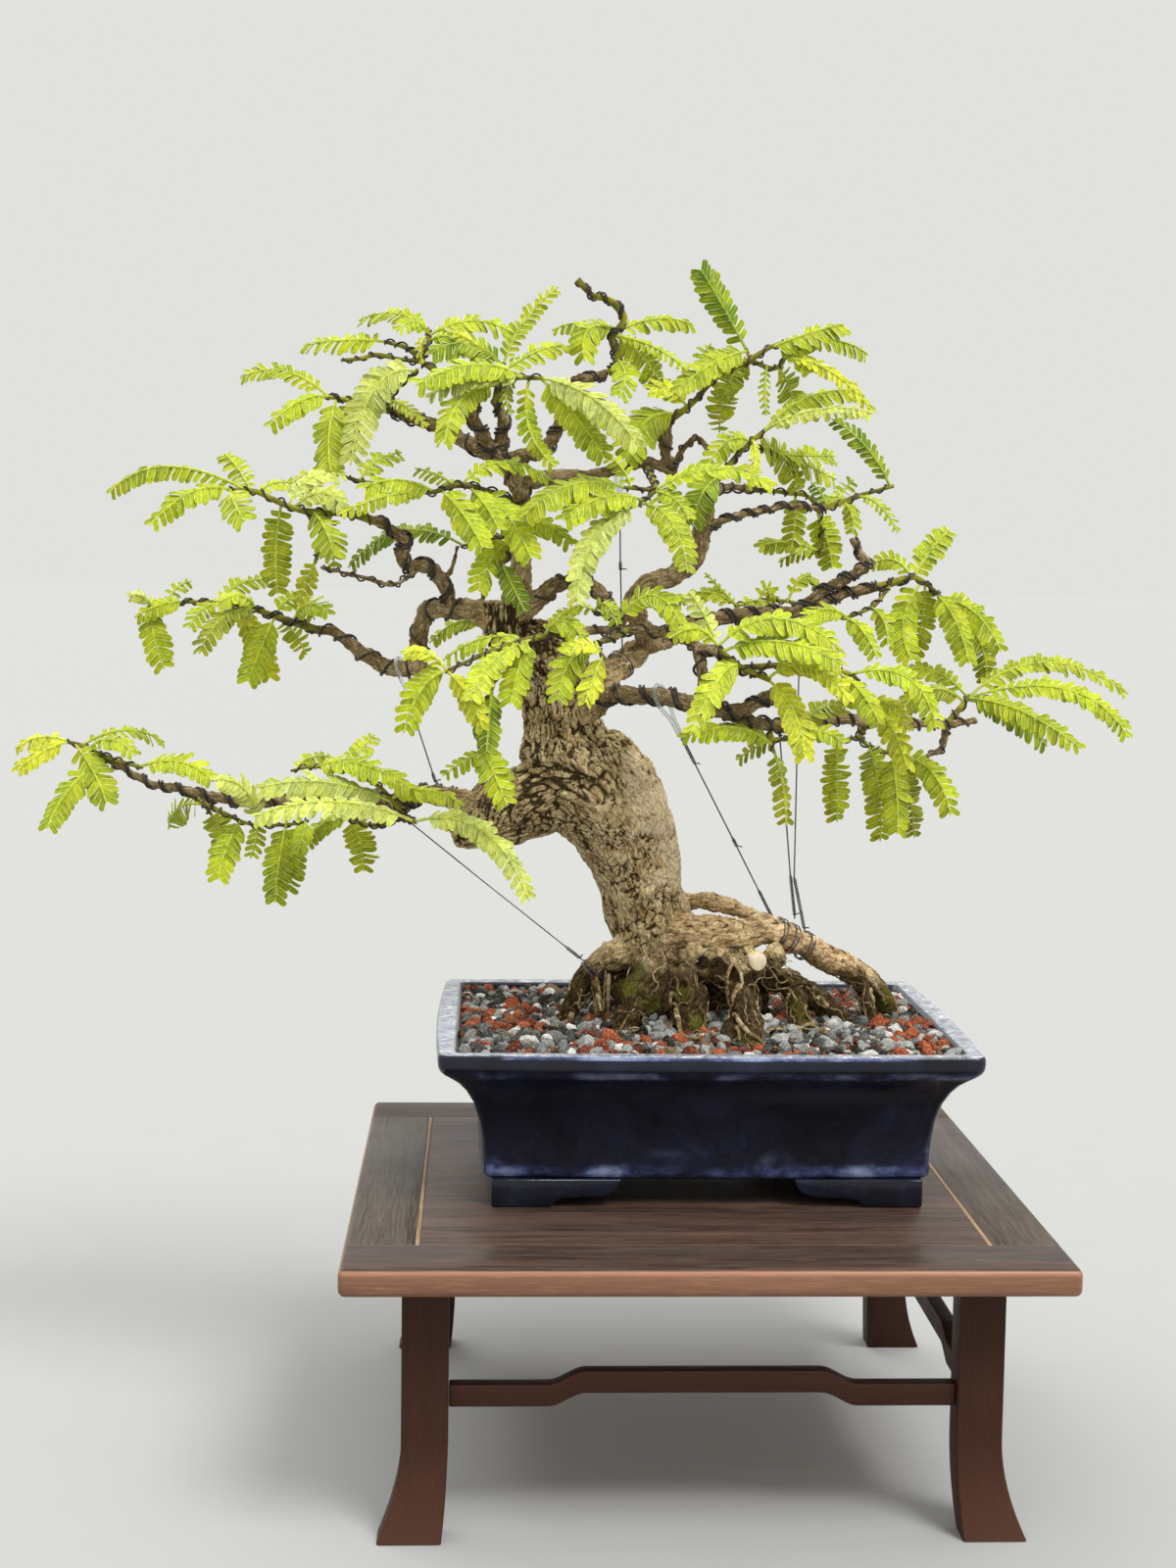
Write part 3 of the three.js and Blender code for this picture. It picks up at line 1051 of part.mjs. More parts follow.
// A length of clear tube on the upper end of a guy wire, which keeps the wire off the bark
function sleeve(name, clear) {
  const [top, next] = guyStops(name, 0);
  const length = top.point.distanceTo(next.point);
  const along = (distance) => top.point.clone().lerp(next.point, distance / length);
  const part = (from, to, r) => limb([{ point: along(from), r }, { point: along(to), r }], GUY.sides);
  const tube = part(GUY.sleeveFrom, GUY.sleeveTo, GUY.sleeveRadius);
  return tube.subtract(part(GUY.sleeveFrom - 2, GUY.sleeveTo + 2, GUY.radius + GAP)).subtract(clear);
}

stand();
pot();
drainScreens();
const tree = wood(0);
const keepClear = wood(GAP);
place('tree_wood', tree, bark);
soil(keepClear);
for (const [name, parts] of Object.entries(SPRAYS)) place('spray_' + name, spray(parts, keepClear), leaf);
for (const [name, coil] of Object.entries(WINDINGS)) {
  place('wire_' + name, winding(coil, keepClear), blackWire);
}
for (const name of Object.keys(GUYS)) place('guy_wire_' + name, guy(name, keepClear), guyWire);
for (const name of SLEEVED) place('sleeve_' + name, sleeve(name, keepClear), clearTube);

const bounds = new THREE.Box3().setFromObject(root);
const middle = bounds.getCenter(new THREE.Vector3());
root.position.set(-middle.x, -middle.y, 0);

export default root;
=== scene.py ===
"""Tamarind bonsai in its glazed pot on a wooden stand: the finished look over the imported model.
Lengths here are millimetres from the middle of the stand at floor level, until a mesh is made."""

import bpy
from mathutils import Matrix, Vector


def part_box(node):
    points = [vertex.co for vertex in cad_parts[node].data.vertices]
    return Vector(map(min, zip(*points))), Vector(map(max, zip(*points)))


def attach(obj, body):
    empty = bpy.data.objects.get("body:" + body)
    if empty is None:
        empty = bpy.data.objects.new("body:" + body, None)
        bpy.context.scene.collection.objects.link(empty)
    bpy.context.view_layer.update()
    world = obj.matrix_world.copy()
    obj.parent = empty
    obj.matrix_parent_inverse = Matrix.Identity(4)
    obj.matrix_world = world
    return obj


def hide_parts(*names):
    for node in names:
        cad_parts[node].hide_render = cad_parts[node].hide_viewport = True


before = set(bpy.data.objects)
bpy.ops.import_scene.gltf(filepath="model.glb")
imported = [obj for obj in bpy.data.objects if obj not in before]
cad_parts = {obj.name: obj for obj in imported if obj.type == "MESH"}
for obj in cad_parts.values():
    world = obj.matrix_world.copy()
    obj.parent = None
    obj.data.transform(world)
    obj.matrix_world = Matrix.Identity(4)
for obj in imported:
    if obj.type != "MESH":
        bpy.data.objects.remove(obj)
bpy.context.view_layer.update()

import math
import random

import bmesh
import bpy
import numpy as np
from mathutils import Matrix, Quaternion, Vector, kdtree, noise

noise.seed_set(7)  # noise_vector is seeded by the clock without this

# Shared measures
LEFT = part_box("stand_leg_front_left")[0].x
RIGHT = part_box("stand_leg_front_right")[1].x
SHIFT = Vector(((LEFT + RIGHT) / 2, 0, 0))  # the middle of the stand in the row's frame
MM = 0.001
GAP = 0.3
EYE = Vector((-103.9, -1119.5, 442.8))  # where the lists below are seen from
TOP = {"z": 136.3, "thick": 13}
GRAIN = {"across": 900, "length": 36}  # pores per metre, across and along the wood
POT = {"x": 7, "y": 23, "width": 271, "depth": 209, "base": 149.4, "bow": 2.5}
FOOT = {"front": 62, "side": 49.6, "width": 11, "half_width": 106.5, "half_depth": 84, "flat": 29}
DRAIN = {"radius": 11, "apart": 50}
SOIL = {"edge": 211, "mound": 12, "reach_x": 58, "reach_y": 48}


def metres(point):
    return Vector(point) * MM + SHIFT


def add(name, data):
    item = bpy.data.objects.new(name, data)
    bpy.context.scene.collection.objects.link(item)
    return item


def evaluated(item):
    """The mesh that an object's modifiers make of it."""
    graph = bpy.context.evaluated_depsgraph_get()
    return bpy.data.meshes.new_from_object(item.evaluated_get(graph))


def finished(bm, name):
    mesh = bpy.data.meshes.new(name)
    bm.to_mesh(mesh)
    bm.free()
    return mesh


def finder(points):
    tree = kdtree.KDTree(len(points))
    for i, point in enumerate(points):
        tree.insert(point, i)
    tree.balance()
    return tree


# Camera
def make_camera():
    yaw, pitch, roll = 0.0462, 0.0917, 0.0142
    ahead = Vector((math.sin(yaw) * math.cos(pitch), math.cos(yaw) * math.cos(pitch), -math.sin(pitch)))
    across = Vector((math.cos(yaw), -math.sin(yaw), 0))
    up = across.cross(ahead)
    right = across * math.cos(roll) + up * math.sin(roll)
    top = up * math.cos(roll) - across * math.sin(roll)
    data = bpy.data.cameras.new("camera")
    data.sensor_width = 36
    data.lens = 50.625
    data.clip_start = 0.05
    data.clip_end = 100
    camera = add("camera", data)
    turn = Matrix((right, top, -ahead)).transposed().to_4x4()
    camera.matrix_world = Matrix.Translation(metres(EYE)) @ turn
    bpy.context.scene.camera = camera


make_camera()

TRUNK = [
    [-14, 216, 3, 20], [-14, 238, 3, 21], [-15.5, 255, 0, 20], [-18.5, 268, 0, 21], [-22.5, 284, 0, 22],
    [-26.5, 300, 0, 24], [-32.5, 316, 0, 27], [-41.5, 330, 0, 29], [-53, 343, 0, 29], [-62, 355, 0, 25],
    [-65, 368, 0, 20.5], [-66, 380, 0, 19.5], [-70, 394, 0, 19.5], [-79, 405, 0, 18], [-89, 413, 0, 14.5],
    [-94, 420, 0, 13.2], [-94, 431, 0, 14],
]
BURL = [
    [-54, 338, 0, 22], [-70, 334, 0, 19], [-86, 327, 0, 19.5], [-102, 320, -3, 18], [-115, 314, -4, 11],
    [-122, 311, -4, 7],
]
ROOTS = [
    [[-34, 226, 14, 12], [-16, 232, 10, 18], [6, 229, 14, 16], [26, 228, 16, 12], [42, 228, 14, 9]],
    [[-12, 226, 30, 16], [4, 230, 40, 16], [20, 226, 44, 12]],
    [[-20, 262, 22, 12], [-34, 252, 14, 9], [-46, 245, 12, 7], [-54, 236, 12, 5.5], [-60, 222, 12, 4.5],
     [-63, 208, 12, 3.5]],
    [[-14, 263, 16, 12], [5, 264, 8, 8.5], [25, 264, 6, 7.5], [42, 265, 8, 7.5], [55, 260, 13, 7],
     [70, 252, 20, 6.5], [85, 245, 28, 6.5], [96, 238, 34, 5.5], [104, 226, 38, 4.5], [109, 214, 40, 3.5]],
    [[84, 245, 28, 5], [91, 236, 26, 4], [94, 226, 24, 3.5], [96, 214, 24, 3]],
    [[-8, 278, 34, 6], [6, 280, 28, 4.5], [22, 277, 22, 4.5], [36, 271, 16, 4], [50, 262, 14, 4]],
    [[2, 250, 10, 13], [18, 245, 0, 10], [28, 237, -9, 8], [30, 226, -20, 7], [33, 213, -31, 6.5],
     [36, 202, -40, 5.5], [38, 192, -46, 4.5]],
    [[30, 226, -20, 5.5], [25, 212, -27, 5], [21, 202, -34, 4], [19, 192, -38, 3.5]],
    [[12, 250, 8, 10], [28, 246, 2, 8], [41, 242, 0, 7.5], [54, 237, 4, 7], [66, 231, 9, 6.5],
     [76, 223, 14, 5.5], [84, 212, 18, 4.5], [88, 200, 20, 3.5]],
    [[54, 237, 4, 6], [58, 226, -2, 6], [62, 212, -6, 5], [64, 200, -8, 4]],
    [[-18, 242, 4, 11], [-26, 228, -6, 8], [-32, 214, -12, 6], [-36, 202, -16, 4.5]],
    [[-2, 240, 6, 12], [2, 226, -8, 9], [2, 213, -18, 6.5], [3, 200, -24, 4.5]],
    [[-49, 243, 8, 1.6], [-46, 230, 0, 1.4], [-41, 214, -6, 1.4], [-40, 206, -8, 1.4]],
    [[-5, 250, 36, 11], [6, 240, 56, 8], [16, 225, 76, 6], [22, 208, 88, 4.5], [24, 200, 92, 3.5]],
    [[-20, 250, 34, 10], [-36, 238, 50, 7], [-48, 222, 62, 5], [-52, 206, 66, 4]],
    [[30, 252, 4, 6], [36, 249, -7, 4.6]], [[44, 254, 2, 5.5], [49, 249, -6, 5]],
    [[2, 252, 4, 6], [11, 250, -5, 5]],
]
BRANCHES = {
    "low_left": [
        [-98, 322, -3, 9], [-110, 326, -8, 7], [-119, 329, -10, 5.5], [-135, 332, -7, 4.5],
        [-150, 326, -3, 5.5], [-165, 322, 0, 4], [-185, 326, 3, 3.6], [-205, 328, 0, 3.2], [-222, 326, -3, 2.8],
        [-240, 328, -6, 2.6], [-262, 333, -6, 2.2], [-275, 335, -3, 2], [-285, 340, 0, 1.8],
        [-296, 346, 0, 1.6],
    ],
    "low_left_stub": [[-155, 323, -1, 3.4], [-162, 333, -7, 2.8]],
    "middle_left": [
        [-97, 422, 0, 9], [-110, 427, 0, 6], [-122, 427, 0, 5], [-134, 427, 4, 4.5], [-139, 415, 8, 4.5],
        [-141, 399, 14, 5.5], [-152, 396, 20, 4.5], [-168, 404, 25, 4], [-183, 415, 29, 3],
        [-192, 416, 32, 2.6],
    ],
    "upper_left": [
        [-122, 427, 0, 4], [-126, 438, -3, 3.6], [-134, 449, -8, 3.6], [-146, 450, -11, 3.6],
        [-149, 456, -14, 3.4], [-147, 462, -17, 3.2], [-156, 469, -20, 2.8], [-163, 473, -21, 2.5],
    ],
    "upper_left_twig": [
        [-138, 450, -10, 1.6], [-152, 440, -14, 1.4], [-168, 443, -14, 1.3], [-190, 448, -11, 1.1],
    ],
    "bare_twig": [[-128, 441, -4, 1.6], [-123, 448, -6, 1.3], [-120, 460, -6, 1.1]],
    "leader": [
        [-90, 420, 0, 9], [-89, 433, 0, 8], [-88, 448, 0, 5.8], [-87, 468, 0, 5.2], [-88, 488, 0, 5],
        [-96, 502, 0, 5], [-104, 509, 0, 4.6], [-113, 511, 8, 4], [-123, 517, 14, 3.6], [-137, 523, 17, 3.2],
        [-150, 525, 20, 2.6],
    ],
    "crown_back": [
        [-102, 507, 0, 4], [-108, 517, -8, 3.6], [-113, 527, -17, 3.2], [-112, 535, -21, 2.8],
        [-122, 542, -10, 2.4],
    ],
    "crown_middle": [[-99, 506, 0, 4], [-98, 515, -1, 3.2], [-97, 525, -6, 3], [-102, 535, -10, 2.6]],
    "crown_right": [
        [-97, 503, 0, 4.5], [-86, 507, -4, 4], [-76, 510, -7, 3.6], [-70, 518, -8, 3.4], [-67, 527, -8, 3.2],
        [-66, 536, -7, 3], [-60, 545, -3, 2.8], [-51, 547, 0, 2.6], [-44, 549, 0, 2.4],
    ],
    "across": [
        [-89, 492, 0, 4.5], [-70, 496, 6, 3.8], [-50, 497, 11, 3.4], [-22, 504, 20, 3], [-8, 499, 25, 2.6],
    ],
    "across_twig": [[-10, 500, 24, 2.2], [-4, 512, 22, 1.8], [3, 517, 21, 1.6], [9, 510, 20, 1.3]],
    "diagonal": [[-9, 499, 25, 2.8], [-13, 507, 22, 2.8], [-14, 517, 18, 3.6], [-13, 526, 17, 2.6]],
    "column_right": [
        [-92, 424, -4, 7], [-80, 431, -7, 5], [-70, 440, -8, 4.2], [-58, 443, -11, 4], [-49, 439, -14, 3.6],
        [-40, 430, -17, 3.2], [-34, 421, -20, 2.8],
    ],
    "right": [
        [-66, 382, 3, 14], [-52, 389, 7, 10], [-40, 396, 13, 7.5], [-30, 404, 20, 6.5], [-20, 411, 25, 6],
        [-8, 416, 31, 5.2], [5, 422, 34, 4.6], [20, 425, 35, 4.2], [35, 427, 36, 4], [58, 429, 39, 3.6],
        [80, 438, 42, 3.2], [94, 441, 45, 2.8],
    ],
    "right_up": [
        [56, 428, 39, 3.4], [66, 437, 39, 3.2], [76, 443, 39, 3], [86, 449, 39, 3], [92, 453, 41, 3],
        [88, 460, 42, 2.2], [84, 467, 42, 1.8],
    ],
    "climb": [
        [-18, 410, 22, 5.5], [-24, 419, 11, 5.5], [-28, 431, -1, 5.8], [-23, 441, -6, 5.4], [-10, 446, -7, 5],
        [2, 454, -7, 5], [6, 468, -7, 4.8], [8, 484, -4, 4.2], [11, 494, 0, 3.2],
    ],
    "climb_side": [
        [5, 462, -7, 2.6], [11, 472, -7, 2.3], [22, 477, -7, 2], [36, 480, -4, 1.9], [50, 483, 0, 1.8],
        [70, 482, 7, 1.7],
    ],
    "climb_back": [[9, 488, -3, 2.4], [18, 492, 17, 2.1], [33, 491, 39, 1.7]],
    "front_right": [
        [-56, 374, -11, 7], [-47, 378, -20, 5.5], [-41, 384, -29, 4.6], [-25, 384, -42, 4.2],
        [-8, 383, -50, 4.2], [10, 378, -56, 4], [28, 377, -59, 3.8], [45, 385, -59, 3.4], [56, 385, -56, 3],
    ],
    "front_right_low": [
        [15, 378, -57, 3.4], [34, 371, -53, 3.4], [60, 369, -36, 3.2], [80, 373, -14, 3], [108, 371, 11, 2.8],
        [126, 371, 24, 2.6], [138, 371, 31, 2.4], [152, 373, 38, 1.8],
    ],
    "tip_drop": [[136, 371, 29, 2.2], [134, 358, 32, 1.7], [126, 354, 34, 1.4]],
    "front_up": [
        [9, 379, -56, 3.8], [8, 389, -56, 3.4], [7, 400, -53, 3.2], [4, 410, -50, 3], [-6, 415, -48, 2.8],
        [-30, 418, -42, 2.6], [-56, 417, -39, 2.2],
    ],
    "front_up_right": [[5, 408, -50, 2.8], [13, 408, -55, 2.6], [23, 401, -60, 2.4], [31, 397, -63, 2.2]],
}
SPRAYS = {
    "low_left_tip": ("myymmmm", [
        [[-295, 345, 0, 1.5], [-310, 354, 3, 1.3], [-321, 357, 3, 1]],
        [[-304, 351, 1, 1.2], [-293, 347, -11, 1.1], [-281, 344, -13, 1]],
    ], [
        [-282, 344, -262, 347, -245, 337, -11, -35, 40], [-318, 356, -332, 359, -346, 353, 3, 11, 40],
        [-320, 356, -333, 351, -345, 342, 3, -14, 55], [-316, 355, -306, 341, -300, 326, 0, -20, 80],
        [-310, 355, -297, 358, -285, 350, 0, -14, 40], [-312, 356, -290, 363, -270, 357, 6, 31, 30],
        [-302, 347, -319, 332, -330, 312, 0, -28, 60],
    ]),
    "low_left_outer": ("mmmmmmmp", [
        [[-262, 332, -6, 1.4], [-252, 327, 8, 1.2], [-246, 320, 22, 1]],
        [[-252, 327, 8, 1.2], [-240, 321, -8, 1.2], [-226, 315, -14, 1], [-206, 315, -22, 0.9],
         [-196, 317, -28, 0.9]],
    ], [
        [-253, 328, -263, 323, -268, 312, 14, 45, 70], [-247, 321, -241, 311, -238, 298, 21, 45, 80],
        [-232, 317, -238, 303, -243, 286, -14, -31, 85], [-222, 315, -223, 307, -226, 297, -14, -20, 80],
        [-207, 315, -211, 296, -213, 274, -22, -34, 90], [-201, 316, -205, 298, -207, 280, -25, -20, 85],
        [-196, 317, -199, 309, -202, 299, -28, -39, 80], [-222, 316, -229, 333, -243, 338, -16, -40, 50],
    ]),
    "low_left_inner": ("ppbmbmmpm", [
        [[-148, 326, -3, 1.8], [-147, 320, -22, 1.5], [-141, 317, -45, 1.3]],
        [[-147, 320, -22, 1.4], [-158, 334, -20, 1.2], [-176, 343, -11, 1.1], [-195, 345, -11, 1],
         [-205, 343, -8, 0.9]],
        [[-147, 320, -22, 1.4], [-160, 315, 3, 1.2], [-176, 318, 25, 1]],
    ], [
        [-142, 317, -183, 327, -225, 319, -45, -59, 35, 1.3], [-140, 317, -106, 313, -81, 276, -45, -78, 50],
        [-153, 329, -136, 334, -116, 326, -21, -36, 35], [-193, 345, -170, 347, -143, 334, -11, -31, 30, 1.4],
        [-177, 343, -170, 353, -162, 362, -11, 3, 60], [-203, 344, -195, 350, -183, 350, -8, 8, 60],
        [-175, 318, -169, 306, -167, 291, 25, 42, 80], [-152, 327, -186, 337, -222, 334, -20, -36, 40, 1.3],
        [-174, 318, -188, 316, -197, 304, 22, 10, 50],
    ]),
    "front_left": ("ymymbmdmmmm", [
        [[-55, 417, -39, 2], [-76, 414, -50, 1.7], [-100, 407, -64, 1.4], [-126, 395, -77, 1.1]],
        [[-100, 407, -64, 1.2], [-101, 388, -67, 1], [-110, 370, -66, 0.9], [-106, 352, -62, 0.9]],
    ], [
        [-125, 395, -136, 405, -147, 404, -77, -84, 50], [-125, 395, -138, 386, -147, 363, -77, -90, 85],
        [-124, 395, -114, 383, -106, 366, -77, -87, 70], [-84, 412, -105, 413, -127, 401, -56, -48, 35],
        [-78, 413, -100, 402, -112, 380, -53, -87, 55], [-82, 411, -88, 397, -92, 379, -56, -73, 80],
        [-101, 386, -103, 371, -104, 354, -67, -78, 90], [-109, 358, -101, 345, -93, 326, -63, -78, 80],
        [-106, 352, -115, 349, -127, 341, -62, -67, 50], [-76, 414, -64, 422, -50, 405, -50, -64, 50],
        [-74, 414, -67, 424, -59, 430, -50, -39, 60],
    ]),
    "middle_left": ("mmmmoymmmbmpm", [
        [[-191, 416, 32, 2.6], [-208, 421, 31, 2.1], [-228, 427, 31, 1.7], [-245, 429, 31, 1.4],
         [-262, 429, 31, 1.2], [-278, 426, 28, 1]],
    ], [
        [-277, 425, -275, 411, -270, 395, 28, 17, 90], [-268, 428, -264, 436, -256, 440, 31, 42, 60],
        [-243, 429, -231, 439, -217, 441, 31, 48, 45], [-245, 428, -251, 425, -257, 416, 28, 14, 60],
        [-222, 425, -239, 422, -252, 403, 28, 3, 45], [-232, 426, -223, 409, -216, 391, 28, 31, 80],
        [-214, 422, -221, 405, -227, 389, 25, 8, 90], [-204, 420, -196, 429, -185, 424, 31, 14, 50],
        [-210, 421, -203, 413, -197, 403, 34, 48, 70], [-222, 426, -232, 433, -244, 427, 31, 14, 45],
        [-213, 423, -203, 432, -193, 421, 33, 45, 60], [-276, 426, -281, 432, -288, 432, 28, 20, 60],
        [-260, 429, -271, 428, -285, 421, 31, 20, 50, 1.1],
    ]),
    "upper_left_tip": ("mmmmmmmyppm", [
        [[-162, 472, -21, 2.5], [-172, 475, -22, 2.2], [-200, 477, -28, 1.8], [-224, 486, -28, 1.4],
         [-238, 487, -31, 1]],
        [[-198, 477, -28, 1.3], [-190, 463, -8, 1.1], [-193, 450, 0, 1]],
    ], [
        [-228, 487, -268, 498, -298, 484, -28, -36, 40], [-236, 487, -256, 485, -277, 468, -31, -56, 50],
        [-225, 487, -232, 497, -239, 505, -25, -8, 60], [-236, 487, -234, 480, -229, 471, -31, -64, 85],
        [-210, 480, -213, 457, -212, 434, -25, -14, 85], [-194, 477, -188, 468, -183, 454, -28, -48, 75, 1.2],
        [-190, 463, -185, 457, -183, 447, -8, -6, 80], [-193, 450, -197, 441, -201, 429, 0, 6, 80],
        [-206, 479, -196, 493, -177, 495, -28, -20, 40], [-203, 480, -190, 486, -178, 478, -28, -34, 45, 1.2],
        [-223, 486, -212, 491, -199, 489, -28, -17, 40],
    ]),
    "upper_left_inner": ("mmmmmmmmm", [
        [[-88, 482, 0, 2.2], [-104, 488, -17, 1.8], [-120, 491, -28, 1.6], [-134, 487, -29, 1.3],
         [-152, 489, -20, 1.2], [-178, 494, -3, 1]],
    ], [
        [-178, 494, -192, 497, -206, 489, -3, 0, 40], [-133, 488, -150, 493, -168, 489, -29, -42, 35, 1.5],
        [-136, 487, -156, 485, -181, 475, -29, -59, 45, 0.8], [-129, 489, -117, 476, -107, 459, -29, -53, 80],
        [-113, 490, -106, 481, -99, 469, -25, -42, 80], [-106, 489, -93, 474, -82, 454, -20, -48, 80],
        [-118, 491, -97, 503, -72, 494, -28, -17, 35], [-170, 493, -161, 503, -149, 507, -8, 11, 50],
        [-121, 491, -131, 496, -142, 499, -28, -17, 45],
    ]),
    "crown_left": ("pmmmmb", [
        [[-148, 525, 20, 2.4], [-158, 529, 21, 2], [-172, 532, 18, 1.6], [-188, 535, 14, 1.2]],
        [[-158, 529, 21, 1.5], [-151, 540, 3, 1.2], [-141, 549, -8, 1]],
    ], [
        [-141, 550, -163, 539, -175, 500, -10, -22, 60, 1.25], [-187, 535, -209, 547, -231, 543, 14, 22, 40],
        [-186, 535, -201, 532, -217, 519, 14, -6, 50], [-182, 534, -186, 515, -185, 497, 14, -22, 88],
        [-174, 532, -178, 518, -176, 504, 18, 28, 85], [-158, 531, -147, 530, -136, 520, 12, -6, 60, 0.6],
    ]),
    "crown_left_top": ("mmmmmy", [
        [[-121, 542, -10, 2.4], [-131, 548, 0, 2], [-139, 553, 8, 1.7], [-145, 559, 17, 1.5],
         [-158, 563, 34, 1.1]],
        [[-139, 553, 8, 1.4], [-136, 562, 8, 1.2], [-136, 570, 20, 1]],
        [[-139.5, 553, 8, 1.4], [-150, 554, 10, 1.3], [-162, 556, 12, 1.2], [-171, 554, 14, 1],
         [-180, 553, 16, 0.9]],
    ], [
        [-136, 571, -153, 577, -171, 573, 20, 45, 40], [-158, 563, -179, 563, -199, 560, 34, 48, 45, 1.1],
        [-136, 566, -113, 574, -90, 567, 14, 20, 35, 1.15], [-136, 569, -143, 573, -152, 568, 14, 3, 60],
        [-136, 563, -122, 566, -106, 556, 10, -3, 50], [-136, 568, -140, 561, -138, 551, 12, 4, 70, 0.6],
    ]),
    "crown_front": ("mdmmmpmpmoy", [
        [[-101, 534, -10, 2.4], [-99, 546, -11, 2], [-97, 553, -7, 1.2]],
        [[-99, 544, -11, 1.6], [-88, 546, -25, 1.4], [-77, 546, -34, 1.1]],
    ], [
        [-97, 552, -88, 573, -70, 592, -7, 3, 60, 0.7], [-98, 551, -115, 563, -135, 557, -7, -17, 45, 1.2],
        [-87, 546, -113, 552, -142, 541, -25, -48, 40, 1.3], [-100, 542, -119, 534, -127, 512, -11, -64, 60],
        [-94, 548, -79, 560, -64, 562, -11, 6, 45], [-77, 544, -51, 536, -27, 512, -34, -53, 50, 1.25],
        [-78, 544, -60, 527, -45, 506, -32, -42, 70, 1.1], [-88, 545, -110, 547, -136, 535, -27, -40, 45],
        [-84, 544, -84, 521, -70, 501, -28, -38, 80, 0.7], [-90, 545, -96, 538, -93, 527, -22, -30, 70, 0.7],
        [-98, 552, -111, 562, -122, 568, -8, -14, 55, 0.8],
    ]),
    "top": ("mmmmmm", [
        [[-44, 549, 0, 2.4], [-39, 555, 0, 2.2], [-42, 567, 0, 2], [-36, 577, 0, 2], [-44, 586, 0, 1.9],
         [-52, 588, 0, 1.8], [-60, 596, 0, 1.7]],
    ], [
        [-41, 570, -19, 577, 0, 574, 0, 6, 45], [-41, 568, -21, 563, -3, 551, -1, -20, 55, 0.6],
        [-40, 572, -54, 571, -56, 555, -1, -17, 70, 1.1], [-41, 569, -57, 574, -73, 570, 0, 8, 50, 0.8],
        [-41, 568, -27, 558, -16, 543, 3, 17, 70, 1.1], [-39, 556, -35, 548, -38, 537, -1, -20, 80],
    ]),
    "top_right": ("dmmmmymmmmmym", [
        [[-13, 525, 17, 2], [-1, 534, 15, 1.8], [12, 548, 14, 1.6], [29, 557, 11, 1.5], [40, 564, 11, 1.3],
         [56, 568, 20, 1]],
        [[29, 557, 11, 1.4], [42, 553, 20, 1.2], [48, 559, 11, 1]],
        [[29, 557, 11, 1.4], [27, 563, 11, 1.2]],
    ], [
        [27, 563, 14, 585, 3, 602, 11, 3, 85], [26, 562, 10, 555, -8, 541, 10, -14, 60],
        [40, 563, 59, 571, 77, 576, 11, 11, 40, 1.3], [55, 566, 75, 567.5, 90, 561, 20, 36, 45],
        [42, 553, 49, 545, 52, 532, 20, 42, 75], [47, 559, 71, 552, 93, 532, 11, -11, 50, 0.7],
        [28, 557, 20, 548, 15, 536, 17, 31, 75], [38, 554, 37, 542, 38, 529, 17, 6, 85, 0.5],
        [23, 555, 16, 538, 14, 520, 14, 48, 80], [9, 546, 5, 556, 9, 565, 14, 25, 60],
        [-8, 529, -24, 525, -34, 505, 15, -8, 65, 1.4], [-3, 533, -12, 541, -22, 541, 15, 6, 60, 1.3],
        [41, 562, 55, 561, 61, 551, 13, 6, 60, 1.2],
    ]),
    "crown_right": ("mpmmmmyd", [
        [[11, 493, 0, 2.2], [19, 503, 3, 1.7], [29, 514, 6, 1.4], [38, 522, 8, 1.2]],
        [[29, 514, 6, 1.3], [44, 509, 34, 1]],
    ], [
        [38, 522, 60, 539, 87, 542, 8, 14, 40, 1.15], [37, 521, 65, 532.5, 93, 531, 7, -28, 35, 1.1],
        [34, 518, 46, 509, 56, 490, 14, 53, 75], [43, 509, 58, 509, 74, 509, 31, 48, 50],
        [44, 509, 59, 504, 75, 497, 34, 64, 60], [31, 516, 19, 516, 8, 502, 4, -6, 60],
        [32, 517, 33, 506, 30, 491, 4, -28, 80, 0.45], [15, 497, 6, 489, 1, 472, 1, -25, 75],
    ]),
    "right_upper": ("dmmmd", [
        [[69, 482, 7, 1.6], [78, 485, 8, 1.5], [88, 489, 11, 1.3], [105, 494, 14, 1.1]],
    ], [
        [103, 494, 91, 513, 72, 528, 14, 6, 70, 0.7], [87, 488, 98, 484, 108, 470, 11, -8, 55, 0.6],
        [80, 486, 84, 478, 84, 469, 7, 0, 80], [75, 484, 79, 491, 84, 497, 11, 22, 60],
        [71, 482, 67, 490, 62, 495, 8, 16, 60],
    ]),
    "right_upper_back": ("mmmmm", [
        [[32, 491, 38, 1.6], [48, 490, 56, 1.4], [62, 487, 70, 1.3], [68, 474, 76, 1.1], [67, 458, 78, 1]],
    ], [
        [54, 489, 54, 476, 53, 462, 62, 64, 85], [66, 479, 71, 466, 74, 451, 74, 81, 80, 1.2],
        [67, 460, 50, 464, 36, 462, 77, 70, 45], [67, 457, 56, 459, 46, 454, 78, 87, 45],
        [64, 485, 76, 488, 88, 480, 70, 87, 40],
    ]),
    "right_inner": ("mmmmpmm", [
        [[-24, 503, 20, 1.8], [-21, 498, 0, 1.5], [-19, 490, -22, 1.3], [-27, 482, -34, 1.1]],
        [[-19, 490, -22, 1.2], [-35, 491, -31, 1]],
    ], [
        [-19, 490, 12, 501, 43, 493, -22, -39, 35, 1.15], [-19, 490, -9, 486, -1, 475, -22, -39, 60],
        [-26, 483, -10, 474, -1, 448, -32, -62, 60], [-24, 485, -45, 486, -66, 474, -31, -53, 40, 1.3],
        [-27, 482, -50, 464, -58, 431, -34, -64, 55], [-35, 491, -62, 492, -86, 476, -31, -48, 40, 1.4],
        [-31, 491, -36, 501, -44, 507, -29, -22, 60],
